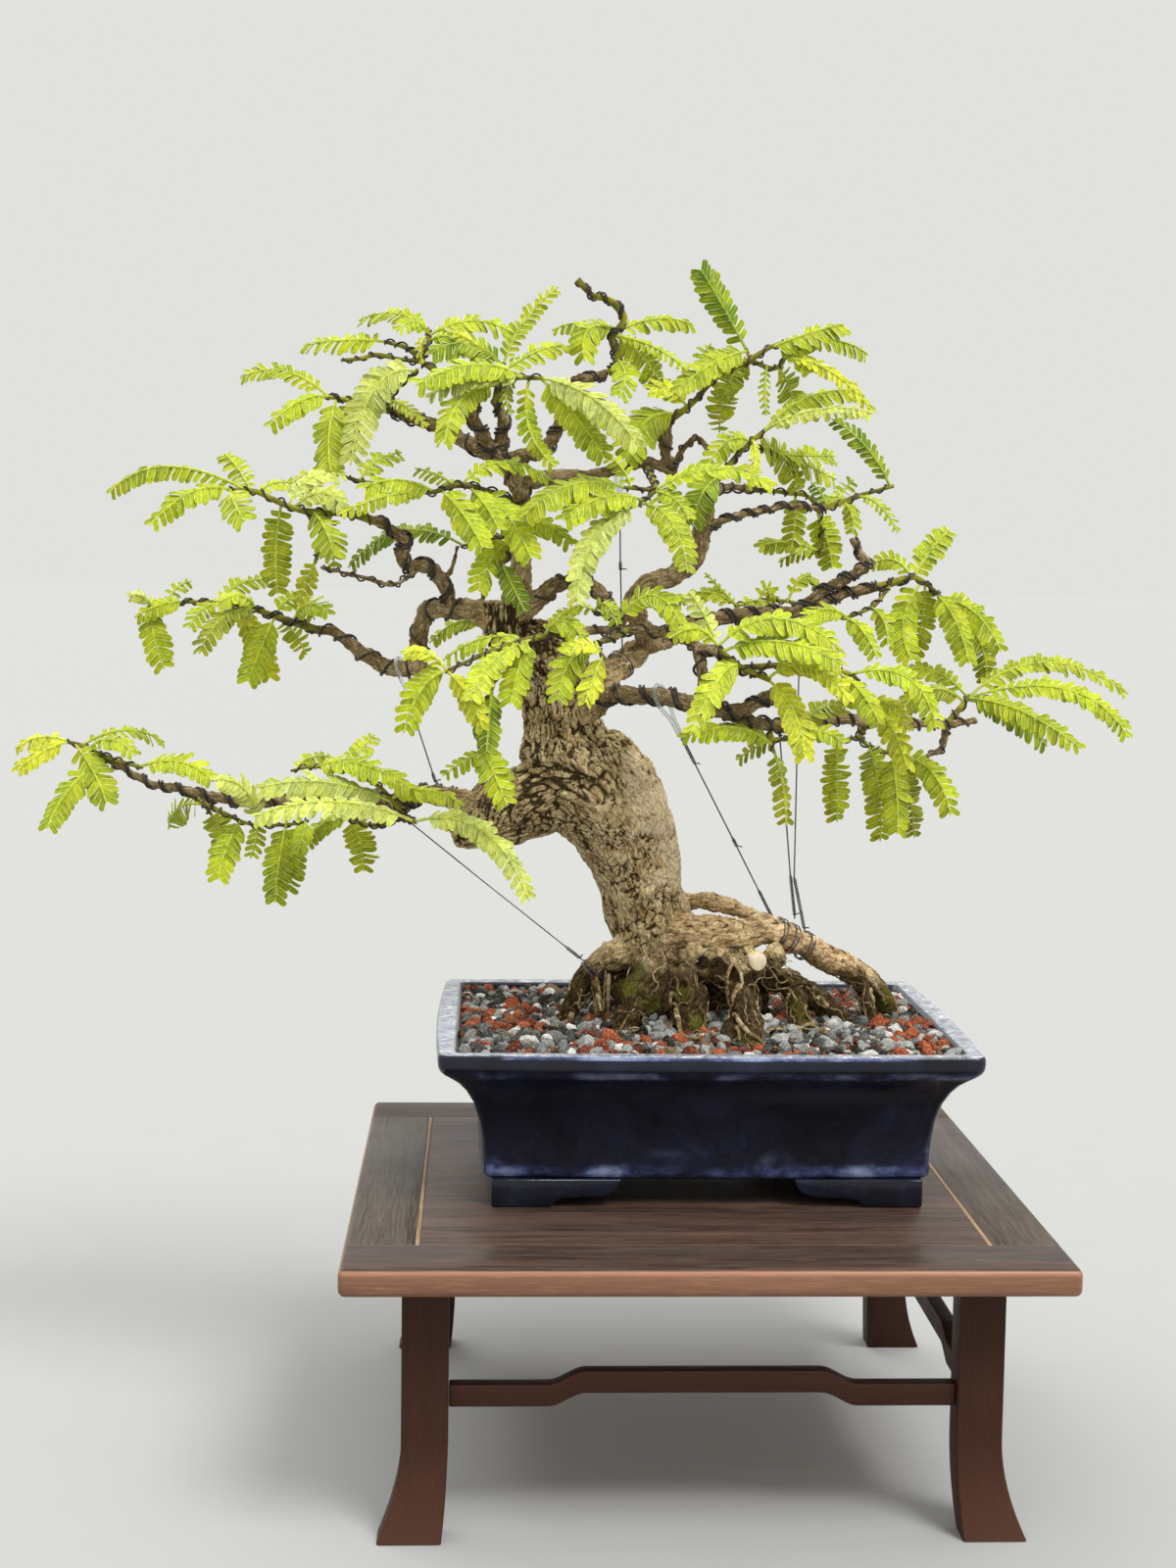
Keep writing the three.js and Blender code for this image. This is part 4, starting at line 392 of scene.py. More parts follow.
    ]),
    "column_left": ("mddmm", [
        [[-87, 470, 0, 2], [-90, 466, -13, 1.5], [-94, 455, -27, 1.2], [-98, 450, -34, 1]],
        [[-90, 466, -13, 1.2], [-99, 465, 6, 1.2], [-108, 462, 22, 1.1], [-118, 460, 34, 1]],
        [[-108, 462, 22, 1.1], [-107, 440, 31, 1], [-106, 417, 36, 0.9]],
    ], [
        [-91, 463, -102, 454, -109, 437, -17, -34, 80], [-97, 451, -92, 441, -85, 427, -32, -42, 85],
        [-118, 460, -149, 467, -176, 448, 34, 59, 45], [-106, 417, -119, 421, -134, 410, 36, 48, 45],
        [-88, 467, -76, 472, -61, 461, -7, -25, 50],
    ]),
    "front_middle": ("mmyymm", [
        [[-32, 418, -42, 1.8], [-40, 413, -56, 1.5], [-48, 410, -67, 1.2], [-43, 403, -73, 1]],
        [[-40, 413, -56, 1.3], [-38, 422, -42, 1.1], [-50, 428, -34, 1]],
    ], [
        [-50, 428, -43, 431, -37, 420, -34, -48, 60], [-48, 410, -61, 402, -67, 380, -67, -84, 75],
        [-45, 405, -52, 410, -63, 406, -70, -87, 50], [-44, 404, -49, 393, -53, 380, -71, -87, 75],
        [-38, 421, -18, 436, -2, 415, -43, -59, 50], [-50, 428, -58, 430, -66, 424, -34, -28, 50],
    ]),
    "front_right": ("bmmyymp", [
        [[30, 398, -63, 2.2], [43, 393, -70, 1.5]],
        [[37, 395, -67, 1.4], [24, 402, -76, 1.3], [14, 411, -77, 1]],
    ], [
        [27, 398, 16, 393, 2, 364, -76, -101, 60], [14, 411, 46, 425, 81, 408, -76, -81, 35, 1.3],
        [17, 408, 49, 413, 81, 401, -71, -95, 40, 1.3], [42, 393, 64, 401, 85, 382, -70, -90, 50],
        [42, 393, 56, 376, 62, 353, -70, -92, 80], [15, 410, 5, 419, -10, 414, -74, -84, 50],
        [14, 411, 8, 426, 0, 438, -76, -70, 60, 0.9],
    ]),
    "front_right_outer": ("mmyym", [
        [[27, 399, -62, 1.6], [38, 400, -56, 1.6], [55, 401, -53, 1.5], [72, 399, -50, 1.3],
         [86, 396, -48, 1.1], [97, 380, -36, 1]],
    ], [
        [78, 398, 91, 387, 101, 371, -49, -67, 55], [86, 396, 115, 395, 131, 368, -48, -62, 50],
        [97, 380, 109, 366, 116, 347, -36, -42, 75], [96, 382, 107, 380, 117, 367, -38, -50, 50],
        [90, 390, 84, 384, 82, 374, -43, -36, 80],
    ]),
    "right_lower": ("moomo", [
        [[44, 370, -48, 1.6], [44, 362, -53, 1.3], [46, 355, -56, 1]],
        [[44, 362, -53, 1.2], [58, 362, -50, 1]],
    ], [
        [45, 359, 25, 368, -3, 362, -55, -70, 45], [47, 361, 37, 358, 26, 351, -53, -42, 50],
        [46, 355, 51, 338, 53, 317, -56, -59, 30], [58, 362, 70, 366, 83, 360, -50, -64, 50],
        [57, 362, 67, 377, 81, 380, -50, -45, 55],
    ]),
    "right_hanging": ("mmmom", [
        [[95, 372, 3, 2.4], [91, 364, 22, 1.5], [98, 358, 38, 1.3], [116, 353, 48, 1.1]],
        [[91, 364, 22, 1.2], [78, 361, 42, 1]],
    ], [
        [78, 361, 79, 342, 80, 319, 42, 56, 88], [94, 361, 101, 339, 103, 309, 31, 64, 85],
        [108, 355, 111, 335, 112, 313, 43, 34, 88], [114, 353, 118, 333, 121, 311, 46, 59, 80],
        [116, 353, 130, 345, 140, 323, 48, 34, 75],
    ]),
    "right_tip": ("mmmdmo", [
        [[137, 371, 31, 2.2], [148, 386, 42, 1.4]],
    ], [
        [148, 386, 187, 404, 232, 388, 42, 53, 40], [148, 386, 199, 390, 233, 365, 42, 17, 45],
        [147, 385, 176, 378, 208, 359, 41, 6, 55], [146, 384, 170, 376, 190, 360, 41, 62, 60],
        [147, 386, 127, 399, 107, 396, 42, 64, 45], [145, 383, 127, 389, 108, 373, 39, 22, 50],
    ]),
    "right_middle": ("mmmmmmmmmmbmbmm", [
        [[92, 440, 45, 2.8], [105, 444, 48, 2.2], [118, 447, 50, 1.6], [127, 441, 50, 1.2], [140, 429, 62, 1]],
        [[105, 444, 48, 1.4], [96, 432, 34, 1.2], [80, 425, 25, 1]],
        [[81, 425.5, 26, 1.1], [66, 431, 50, 1.1], [48, 434, 66, 1.1], [34, 433, 60, 1.1], [24, 431, 46, 1]],
    ], [
        [121, 445, 112, 424, 117, 404, 50, 36, 80], [123, 444, 122, 426, 118, 408, 50, 67, 85],
        [128, 440, 140, 424, 147, 403, 52, 31, 75], [132, 437, 150, 429, 164, 409, 56, 45, 65],
        [140, 429, 152, 415, 157, 394, 62, 78, 75], [118, 447, 125, 461, 135, 472, 50, 64, 70],
        [116, 447, 106, 456, 94, 453, 50, 56, 60], [96, 432, 102, 424, 104, 412, 34, 20, 75],
        [82, 426, 70, 430, 58, 422, 27, 8, 50], [80, 425, 90, 420, 99, 405, 25, 8, 60],
        [36, 434, 41, 441, 45, 432, 61, 64, 60], [52, 433, 60, 447, 70, 439, 64, 70, 40],
        [26, 431, 37, 434, 50, 430, 48, 70, 40], [25, 431, 17, 439, 8, 448, 46, 56, 50, 0.6],
        [26, 431, 8, 438, -9, 432, 46, 60, 40],
    ]),
}
GUYS = {
    "low_left": [[-150, 322, 0], [-110, 290, -5], [-49, 242, -8]],
    "middle_left": [[-149, 397, 17], [-140, 367, 6], [-129, 334, -8]],
    "across": [[-37, 499, 14], [-36, 453, 14], [-34, 400, 15]],
    "front": [[-14, 384, -48], [25, 310, -32], [50, 262, -12]],
    "right_front": [[48, 371, -45], [56, 290, -22], [59, 266, -9]],
    "right": [[58, 428, 39], [58, 286, 0], [65, 258, -4]],
}


# Materials
class Shader:
    """A material whose nodes are added by short calls. Inputs are numbers, colours or other sockets."""

    def __init__(self, name, **inputs):
        self.material = bpy.data.materials.new(name)
        self.material.use_nodes = True
        self.tree = self.material.node_tree
        self.surface = self.tree.nodes["Principled BSDF"]
        self.fill(self.surface, {key.replace("_", " "): value for key, value in inputs.items()})

    def put(self, socket, value):
        if isinstance(value, bpy.types.NodeSocket):
            self.tree.links.new(value, socket)
        else:
            socket.default_value = value

    def fill(self, node, inputs):
        for key, value in inputs.items():
            self.put(node.inputs[key], value)

    def node(self, kind, inputs=None, **settings):
        node = self.tree.nodes.new("ShaderNode" + kind)
        for key, value in settings.items():
            setattr(node, key, value)
        self.fill(node, inputs or {})
        return node

    def place(self, scale=(1, 1, 1)):
        source = self.node("TexCoord").outputs["Object"]
        return self.node("Mapping", {"Vector": source, "Scale": scale}).outputs["Vector"]

    def read(self, name):
        return self.node("Attribute", attribute_name=name)

    def channels(self, name):
        colour = self.read(name).outputs["Color"]
        return self.node("SeparateColor", {"Color": colour}).outputs

    def noise(self, place, scale, detail=4, rough=0.55, warp=0):
        inputs = {"Vector": place, "Scale": scale, "Detail": detail, "Roughness": rough, "Distortion": warp}
        return self.node("TexNoise", inputs).outputs["Fac"]

    def cells(self, place, scale):
        return self.node("TexVoronoi", {"Vector": place, "Scale": scale}, feature="DISTANCE_TO_EDGE").outputs[0]

    def math(self, operation, a, b=0.0):
        node = self.node("Math", operation=operation)
        self.put(node.inputs[0], a)
        self.put(node.inputs[1], b)
        return node.outputs[0]

    def times(self, a, b):
        return self.math("MULTIPLY", a, b)

    def span(self, value, low, high, to_low=0.0, to_high=1.0):
        inputs = {"Value": value, "From Min": low, "From Max": high, "To Min": to_low, "To Max": to_high}
        return self.node("MapRange", inputs, interpolation_type="SMOOTHSTEP").outputs["Result"]

    def ramp(self, value, *stops):
        node = self.node("ValToRGB", {"Fac": value})
        points = node.color_ramp.elements
        while len(points) < len(stops):
            points.new(0.5)
        for point, (position, colour) in zip(points, stops):
            point.position = position
            point.color = (*colour, 1)
        return node.outputs["Color"]

    def mix(self, share, a, b):
        node = self.node("Mix", data_type="RGBA")
        self.put(node.inputs[0], share)
        for socket, value in ((node.inputs[6], a), (node.inputs[7], b)):
            self.put(socket, value if isinstance(value, bpy.types.NodeSocket) else (*value, 1))
        return node.outputs[2]

    def bump(self, height, distance, strength=1.0):
        inputs = {"Height": height, "Distance": distance, "Strength": strength}
        normal = self.node("Bump", inputs).outputs["Normal"]
        self.fill(self.surface, {"Normal": normal})

    def colour(self, value):
        self.fill(self.surface, {"Base Color": value})

    def rough(self, value):
        self.fill(self.surface, {"Roughness": value})


def wood_material(name, along, dark, middle, light, dust_and_sheen, gloss):
    """Dark wood with short open pores along its grain. Faces that look up are worn and dusty, a little faded, and given
    a painted grey sheen by the same faded tone. The rounded edges most, and the other faces that do not look up about
    half as much, get a painted highlight in a bright red tone."""
    shader = Shader(name, Coat_Weight=gloss, Coat_Roughness=0.3, Specular_IOR_Level=0.12)
    across, length = GRAIN["across"], GRAIN["length"]
    stretch = [across if axis != along else length for axis in "XYZ"]
    figure = shader.noise(shader.place([v * 0.09 for v in stretch]), 1, 5, 0.6, 0.8)
    pores = shader.noise(shader.place(stretch), 1, 4, 0.66)
    fibre = shader.noise(shader.place([v * 2.2 for v in stretch]), 1, 2, 0.6)
    wear = shader.noise(shader.place(), 14, 4, 0.65)
    tone = shader.ramp(figure, (0.3, dark), (0.52, middle), (0.75, light))
    tone = shader.mix(shader.span(pores, 0.5, 0.6, 0, 0.85), tone, light)
    tone = shader.mix(shader.span(fibre, 0.36, 0.5, 0.6, 0), tone, dark)
    facing = shader.node("SeparateXYZ", {"Vector": shader.node("NewGeometry").outputs["Normal"]}).outputs
    # Dust and painted sheen: faces that look up go towards the faded tone, which stands for dust and also for a painted
    # grey sheen.
    worn = shader.times(shader.span(facing[2], 0.5, 0.95), shader.span(wear, 0.3, 0.7, 0.45, 0.9))
    tone = shader.mix(shader.times(worn, shader.span(pores, 0.42, 0.56, 0.1, 1)), tone, dust_and_sheen)
    # Painted highlight: the rounded edges, and the other faces that do not look up about half as much, go towards a
    # bright red tone.
    edge_highlight = shader.times(shader.span(facing[2], -0.1, 0.4, 0.5, 1), shader.span(facing[2], 0.6, 0.9, 1, 0))
    highlight_tone = [min(v * m, 0.9) for v, m in zip(light, (2.9, 2.6, 2.2))]
    tone = shader.mix(shader.times(edge_highlight, 0.66), tone, highlight_tone)
    shader.colour(tone)
    shader.rough(shader.span(wear, 0.3, 0.75, 0.45, 0.66))
    height = shader.math("SUBTRACT", shader.times(fibre, 0.5), pores)
    shader.bump(height, 0.0002, 0.6)
    return shader.material


def bark_material():
    """Reads three attributes. bark: r how deep in a crack, with painted shade in the hollows between the front roots, g
    moss, b tan, with a painted lit side on the right of the lower trunk. style: r long plates, g pale worn skin,
    b damp dark root. limb: the place along and round the limb, in metres."""
    shader = Shader("bark", Roughness=0.9, Specular_IOR_Level=0.06)
    place = shader.place()
    crack, moss, tan_and_lit_side = shader.channels("bark")
    long_plates, pale, damp = shader.channels("style")
    limb = shader.read("limb").outputs["Vector"]
    sway = shader.node("TexNoise", {"Vector": place, "Scale": 170.0, "Detail": 3.0}).outputs["Color"]
    sway = shader.node("VectorMath", {0: sway, 1: (0.5, 0.5, 0.5)}, operation="SUBTRACT").outputs[0]
    sway = shader.node("VectorMath", {0: sway, "Scale": 0.0034}, operation="SCALE").outputs[0]
    limb = shader.node("VectorMath", {0: limb, 1: sway}, operation="ADD").outputs[0]
    drawn = shader.node("Mapping", {"Vector": limb, "Scale": (1, 1, 0.22)}).outputs["Vector"]
    squat = shader.node("Mapping", {"Vector": limb, "Scale": (1, 1, 0.5)}).outputs["Vector"]
    narrow = shader.span(shader.cells(drawn, 480), 0.015, 0.12, 1, 0)
    small = shader.span(shader.cells(squat, 460), 0.015, 0.12, 1, 0)
    thin = shader.mix(long_plates, small, narrow)
    broad = shader.noise(place, 75, 5, 0.62)
    fine = shader.noise(place, 700, 6, 0.72)
    middle = shader.noise(place, 260, 4, 0.65)
    streak = shader.noise(drawn, 900, 4, 0.65)
    thin = shader.times(thin, shader.span(middle, 0.42, 0.58, 0, 0.8))
    body = shader.ramp(broad, (0.3, (0.27, 0.185, 0.075)), (0.5, (0.46, 0.335, 0.16)), (0.7, (0.7, 0.55, 0.31)))
    old = shader.ramp(broad, (0.3, (0.25, 0.17, 0.07)), (0.5, (0.5, 0.36, 0.165)), (0.7, (0.78, 0.62, 0.34)))
    warm = shader.ramp(broad, (0.3, (0.34, 0.2, 0.085)), (0.52, (0.62, 0.41, 0.2)), (0.72, (0.95, 0.7, 0.42)))
    worn = shader.ramp(fine, (0.34, (0.37, 0.27, 0.14)), (0.6, (0.8, 0.64, 0.42)))
    wet = shader.ramp(middle, (0.34, (0.014, 0.008, 0.003)), (0.52, (0.05, 0.029, 0.011)), (0.7, (0.19, 0.13, 0.055)))
    body = shader.mix(long_plates, body, old)
    # Tan bark, and on the right of the lower trunk a painted lit side in the same warm tone.
    body = shader.mix(tan_and_lit_side, body, warm)
    skin = shader.span(shader.math("ADD", pale, shader.times(middle, 1.6)), 1.0, 1.3)
    body = shader.mix(skin, body, worn)
    body = shader.mix(damp, body, wet)
    dry = shader.math("SUBTRACT", 1.0, shader.times(damp, 0.85))
    body = shader.mix(shader.times(shader.span(streak, 0.5, 0.64, 0, 0.7), dry), body, (0.86, 0.73, 0.49))
    body = shader.mix(shader.span(streak, 0.32, 0.46, 0.6, 0), body, (0.075, 0.043, 0.014))
    body = shader.mix(shader.span(fine, 0.32, 0.45, 0.5, 0), body, (0.06, 0.034, 0.011))
    whole = shader.math("SUBTRACT", 1.0, shader.times(skin, 0.85))
    body = shader.mix(shader.times(shader.times(thin, 0.75), whole), body, (0.032, 0.017, 0.005))
    # Dark cracks, and painted shade in the hollows between the front roots, which come in as cracks.
    bare = shader.times(whole, shader.span(crack, 0.2, 0.72, 0, 0.93))
    body = shader.mix(bare, body, (0.026, 0.014, 0.005))
    green = shader.ramp(fine, (0.35, (0.035, 0.036, 0.006)), (0.65, (0.17, 0.15, 0.025)))
    patch = shader.span(shader.math("ADD", moss, shader.times(fine, 1.3)), 0.95, 1.25)
    body = shader.mix(shader.times(patch, 0.8), body, green)
    shader.colour(body)
    height = shader.math("SUBTRACT", shader.times(streak, 0.7), shader.times(thin, 0.8))
    shader.bump(shader.math("ADD", height, shader.times(fine, 0.5)), 0.0008, 1)
    return shader.material


def leaf_material():
    """Reads u across and v along each leaflet from its UV map, and the leaf's own tone from an attribute."""
    shader = Shader("leaf", Roughness=0.5, Specular_IOR_Level=0.06, Subsurface_Weight=0.05, Subsurface_Scale=0.002)
    tone = shader.read("tone").outputs["Color"]
    leaf = shader.node("SeparateXYZ", {"Vector": shader.node("UVMap", uv_map="leaf").outputs["UV"]}).outputs
    across = shader.math("ABSOLUTE", leaf[0])
    blade = shader.span(leaf[1], 0, 0.02)
    rib = shader.times(shader.span(across, 0.04, 0.12, 1, 0), blade)
    slant = shader.math("SUBTRACT", leaf[1], shader.times(across, 0.14))
    vein = shader.span(shader.math("SINE", shader.times(slant, 44.0)), 0.55, 1)
    vein = shader.times(shader.times(vein, 0.07), blade)
    mottle = shader.noise(shader.place(), 420, 3, 0.6)
    body = shader.mix(shader.span(mottle, 0.34, 0.72, 0, 0.6), tone, (0.06, 0.135, 0))
    light = shader.span(shader.noise(shader.place(), 90, 2, 0.5), 0.35, 0.7, 0, 0.3)
    body = shader.mix(light, body, (0.72, 0.74, 0.01))
    # Painted highlight: a pale line along the edges of each leaflet.
    rim_highlight = shader.times(shader.span(across, 0.8, 0.97), shader.times(blade, 0.95))
    pale = shader.mix(0.8, tone, (1, 1, 0.5))
    lines = shader.math("MAXIMUM", shader.times(rib, 0.3), shader.math("MAXIMUM", vein, rim_highlight))
    shader.colour(shader.mix(lines, body, pale))
    shader.bump(shader.math("SUBTRACT", 0.0, shader.math("ADD", rib, vein)), 0.00018, 0.7)
    return shader.material


def glaze_material():
    """Reads r: how thin the glaze is on edges, with painted highlight lines along the top and bottom edges of the lip,
    g: the grey crust on the flat lip, b: bare chipped clay.
    """
    shader = Shader("pot_glaze", Coat_Weight=0.25, Coat_Roughness=0.07, Specular_IOR_Level=0.25)
    place = shader.place()
    thin, lip, chip = shader.channels("glaze")
    cloud = shader.noise(place, 42, 5, 0.62, 0.6)
    spot = shader.noise(place, 140, 5, 0.72, 1.2)
    streak = shader.noise(shader.place((44, 44, 66)), 1, 5, 0.6, 0.15)
    deep = (0.35, (0.004, 0.0045, 0.009)), (0.6, (0.0085, 0.0105, 0.024)), (0.8, (0.018, 0.024, 0.06))
    deep = shader.ramp(cloud, *deep)
    blue = shader.ramp(streak, (0.32, (0.011, 0.014, 0.04)), (0.5, (0.06, 0.078, 0.19)), (0.66, (0.23, 0.28, 0.43)))
    # Thin glaze turns blue and light, and so do the painted highlight lines on the edges of the lip.
    amount = shader.times(thin, shader.span(streak, 0.3, 0.62, 0.55, 1.3))
    body = shader.mix(shader.span(amount, 0.1, 1), deep, blue)
    crust = shader.ramp(
        spot, (0.3, (0.07, 0.075, 0.115)), (0.45, (0.25, 0.27, 0.32)), (0.56, (0.4, 0.42, 0.47)),
        (0.66, (0.75, 0.77, 0.8)),
    )
    share = shader.span(shader.math("ADD", lip, shader.times(cloud, 0.7)), 0.82, 1.35)
    body = shader.mix(shader.times(share, shader.span(spot, 0.3, 0.5, 0.6, 0.97)), body, crust)
    body = shader.mix(chip, body, (0.3, 0.23, 0.14))
    shader.colour(body)
    shader.rough(shader.math("MAXIMUM", shader.span(spot, 0.4, 0.75, 0.16, 0.34), shader.times(chip, 0.8)))
    shader.bump(shader.math("ADD", cloud, shader.times(spot, 0.22)), 0.0009, 0.5)
    return shader.material


def grain_material():
    """Each gravel grain has its own colour in the attribute."""
    shader = Shader("gravel", Roughness=0.9, Specular_IOR_Level=0.07)
    place = shader.place()
    pit = shader.noise(place, 1100, 5, 0.75)
    tone = shader.read("tone").outputs["Color"]
    body = shader.mix(shader.span(pit, 0.4, 0.62, 0.55, 0), tone, (0.02, 0.014, 0.008))
    body = shader.mix(shader.span(pit, 0.54, 0.7, 0, 0.5), body, (0.78, 0.74, 0.66))
    shader.colour(body)
    shader.bump(pit, 0.0006, 0.9)
    return shader.material


def soil_material():
    """Fine dark grit under the gravel."""
    shader = Shader("grit", Roughness=0.95, Specular_IOR_Level=0.03)
    grit = shader.noise(shader.place(), 420, 5, 0.7)
    tones = (0.35, (0.007, 0.004, 0.002)), (0.55, (0.028, 0.018, 0.01)), (0.72, (0.09, 0.065, 0.042))
    shader.colour(shader.ramp(grit, *tones))
    shader.bump(grit, 0.0012, 1)
    return shader.material


def wire_material(name, dark, light, rough, metallic):
    shader = Shader(name, Metallic=metallic)
    tarnish = shader.noise(shader.place(), 260, 4, 0.6)
    shader.colour(shader.ramp(tarnish, (0.35, dark), (0.7, light)))
    shader.rough(shader.span(tarnish, 0.3, 0.7, rough - 0.1, rough + 0.12))
    shader.bump(tarnish, 0.00012, 0.4)
    return shader.material


def clear_material():
    shader = Shader("clear_sleeve", Base_Color=(0.8, 0.84, 0.85, 1), IOR=1.4, Transmission_Weight=0.85)
    haze = shader.noise(shader.place(), 300, 3, 0.6)
    shader.rough(shader.span(haze, 0.35, 0.7, 0.12, 0.35))
    return shader.material


def stage_material():
    shader = Shader("floor", Roughness=0.95, Specular_IOR_Level=0.1)
    grit = shader.noise(shader.place(), 30, 3, 0.6)
    shader.colour(shader.ramp(grit, (0.3, (0.397, 0.398, 0.391)), (0.7, (0.403, 0.404, 0.397))))
    return shader.material


# Mesh making
class Build:
    """Collects points in millimetres, faces, and values kept on the points."""

    def __init__(self):
        self.points = []
        self.faces = []
        self.tones = []
        self.uvs = []

    def point(self, position, tone=None, uv=(0, 0)):
        self.points.append(position)
        self.tones.append(tone)
        self.uvs.append(uv)
        return len(self.points) - 1

    def tube(self, centres, radii, sides, tone=None, bumps=0.0):
        """A closed tube along points, with a radius at each."""
        frames = parallel_frames(centres)
        rings = []
        for centre, radius, (_, normal, across) in zip(centres, radii, frames):
            ring = []
            for j in range(sides):
                angle = 2 * math.pi * j / sides
                out = normal * math.cos(angle) + across * math.sin(angle)
                reach = radius * (1 + bumps * noise.noise(centre * 0.08 + out * 0.9))
                ring.append(self.point(centre + out * reach, tone))
            rings.append(ring)
        self.loft(rings)

    def loft(self, rings):
        """Closed walls from ring to ring, and both ends."""
        for ring, after in zip(rings, rings[1:]):
            for j in range(len(ring)):
                k = (j + 1) % len(ring)
                self.faces.append((ring[j], ring[k], after[k], after[j]))
        self.faces.append(tuple(reversed(rings[0])))
        self.faces.append(tuple(rings[-1]))

    def mesh(self, name):
        mesh = bpy.data.meshes.new(name)
        mesh.from_pydata([metres(p) for p in self.points], [], self.faces)
        bm = bmesh.new()
        bm.from_mesh(mesh)
        bmesh.ops.recalc_face_normals(bm, faces=bm.faces)
        bm.to_mesh(mesh)
        bm.free()
        return mesh


def parallel_frames(centres):
    """Tangent, normal and cross direction at each point, turned as little as possible from one to the next."""
    frames = []
    normal = None
    for i in range(len(centres)):
        tangent = (centres[min(i + 1, len(centres) - 1)] - centres[max(i - 1, 0)]).normalized()
        if normal is None:
            normal = tangent.orthogonal().normalized()
        else:
            normal = (normal - tangent * normal.dot(tangent)).normalized()
        frames.append((tangent, normal, tangent.cross(normal)))
    return frames


def piece(name, mesh, slot, material, *nodes, angle=35):
    """Puts a mesh in the scene as a piece of the object, in place of the named nodes."""
    mesh.materials.clear()
    mesh.materials.append(material)
    mesh.shade_smooth()
    mesh.set_sharp_from_angle(angle=math.radians(angle))
    item = add(name, mesh)
    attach(item, "root")
    if nodes:
        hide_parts(*nodes)
    return item


def set_tones(mesh, tones, name="tone"):
    layer = mesh.attributes.new(name, "FLOAT_COLOR", "POINT")
    layer.data.foreach_set("color", np.array([(*t[:3], 1) for t in tones], np.float32).ravel())


def seen(x, z, behind, plane=POT["y"]):
    """The point seen at x, z of an upright plane, moved back along the line of sight."""
    reach = (plane + behind - EYE.y) / (plane - EYE.y)
    return Vector((EYE.x + (x - EYE.x) * reach, plane + behind, EYE.z + (z - EYE.z) * reach))


def route(stops, plane=POT["y"]):
    return [seen(x, z, behind, plane) for x, z, behind, _ in stops], [stop[3] for stop in stops]


def smooth_route(points, radii, step):
    """Points every step or so along a centripetal Catmull-Rom curve, with radii between those of the stops."""
    ends = [points[0] * 2 - points[1], *points, points[-1] * 2 - points[-2]]
    out, sizes = [], []
    for i in range(len(points) - 1):
        a, b, c, d = ends[i : i + 4]
        t0 = 0.0
        t1 = t0 + math.sqrt(max((b - a).length, 1e-6))
        t2 = t1 + math.sqrt(max((c - b).length, 1e-6))
        t3 = t2 + math.sqrt(max((d - c).length, 1e-6))
        count = max(1, round((c - b).length / step))
        last = i == len(points) - 2
        for j in range(count + last):
            t = t1 + (t2 - t1) * j / count
            ab = a * ((t1 - t) / (t1 - t0)) + b * ((t - t0) / (t1 - t0))
            bc = b * ((t2 - t) / (t2 - t1)) + c * ((t - t1) / (t2 - t1))
            cd = c * ((t3 - t) / (t3 - t2)) + d * ((t - t2) / (t3 - t2))
            abc = ab * ((t2 - t) / (t2 - t0)) + bc * ((t - t0) / (t2 - t0))
            bcd = bc * ((t3 - t) / (t3 - t1)) + cd * ((t - t1) / (t3 - t1))
            out.append(abc * ((t2 - t) / (t2 - t1)) + bcd * ((t - t1) / (t2 - t1)))
            sizes.append(radii[i] + (radii[i + 1] - radii[i]) * j / count)
    return out, sizes


# Wood
def wood_limbs():
    """Every trunk, root and branch as points, radii and kind."""
    limbs = [("trunk", *route(TRUNK)), ("burl", *route(BURL))]
    for stops in ROOTS:
        limbs.append(("root", *route(stops, 0)))
    for name, stops in BRANCHES.items():
        limbs.append((name, *route(stops)))
    return limbs


def fine_limbs():
    return [(kind, *smooth_route(points, radii, 1.5)) for kind, points, radii in wood_limbs()]


def voxel_union(name, build, size):
    """One closed skin round all the tubes of a build."""
    item = add(name, build.mesh(name))
    remesh = item.modifiers.new("skin", "REMESH")
    remesh.mode = "VOXEL"
    remesh.voxel_size = size * MM
    smooth = item.modifiers.new("even", "SMOOTH")
    smooth.factor = 0.5
    smooth.iterations = 3
    result = evaluated(item)
    bpy.data.objects.remove(item)
    return result


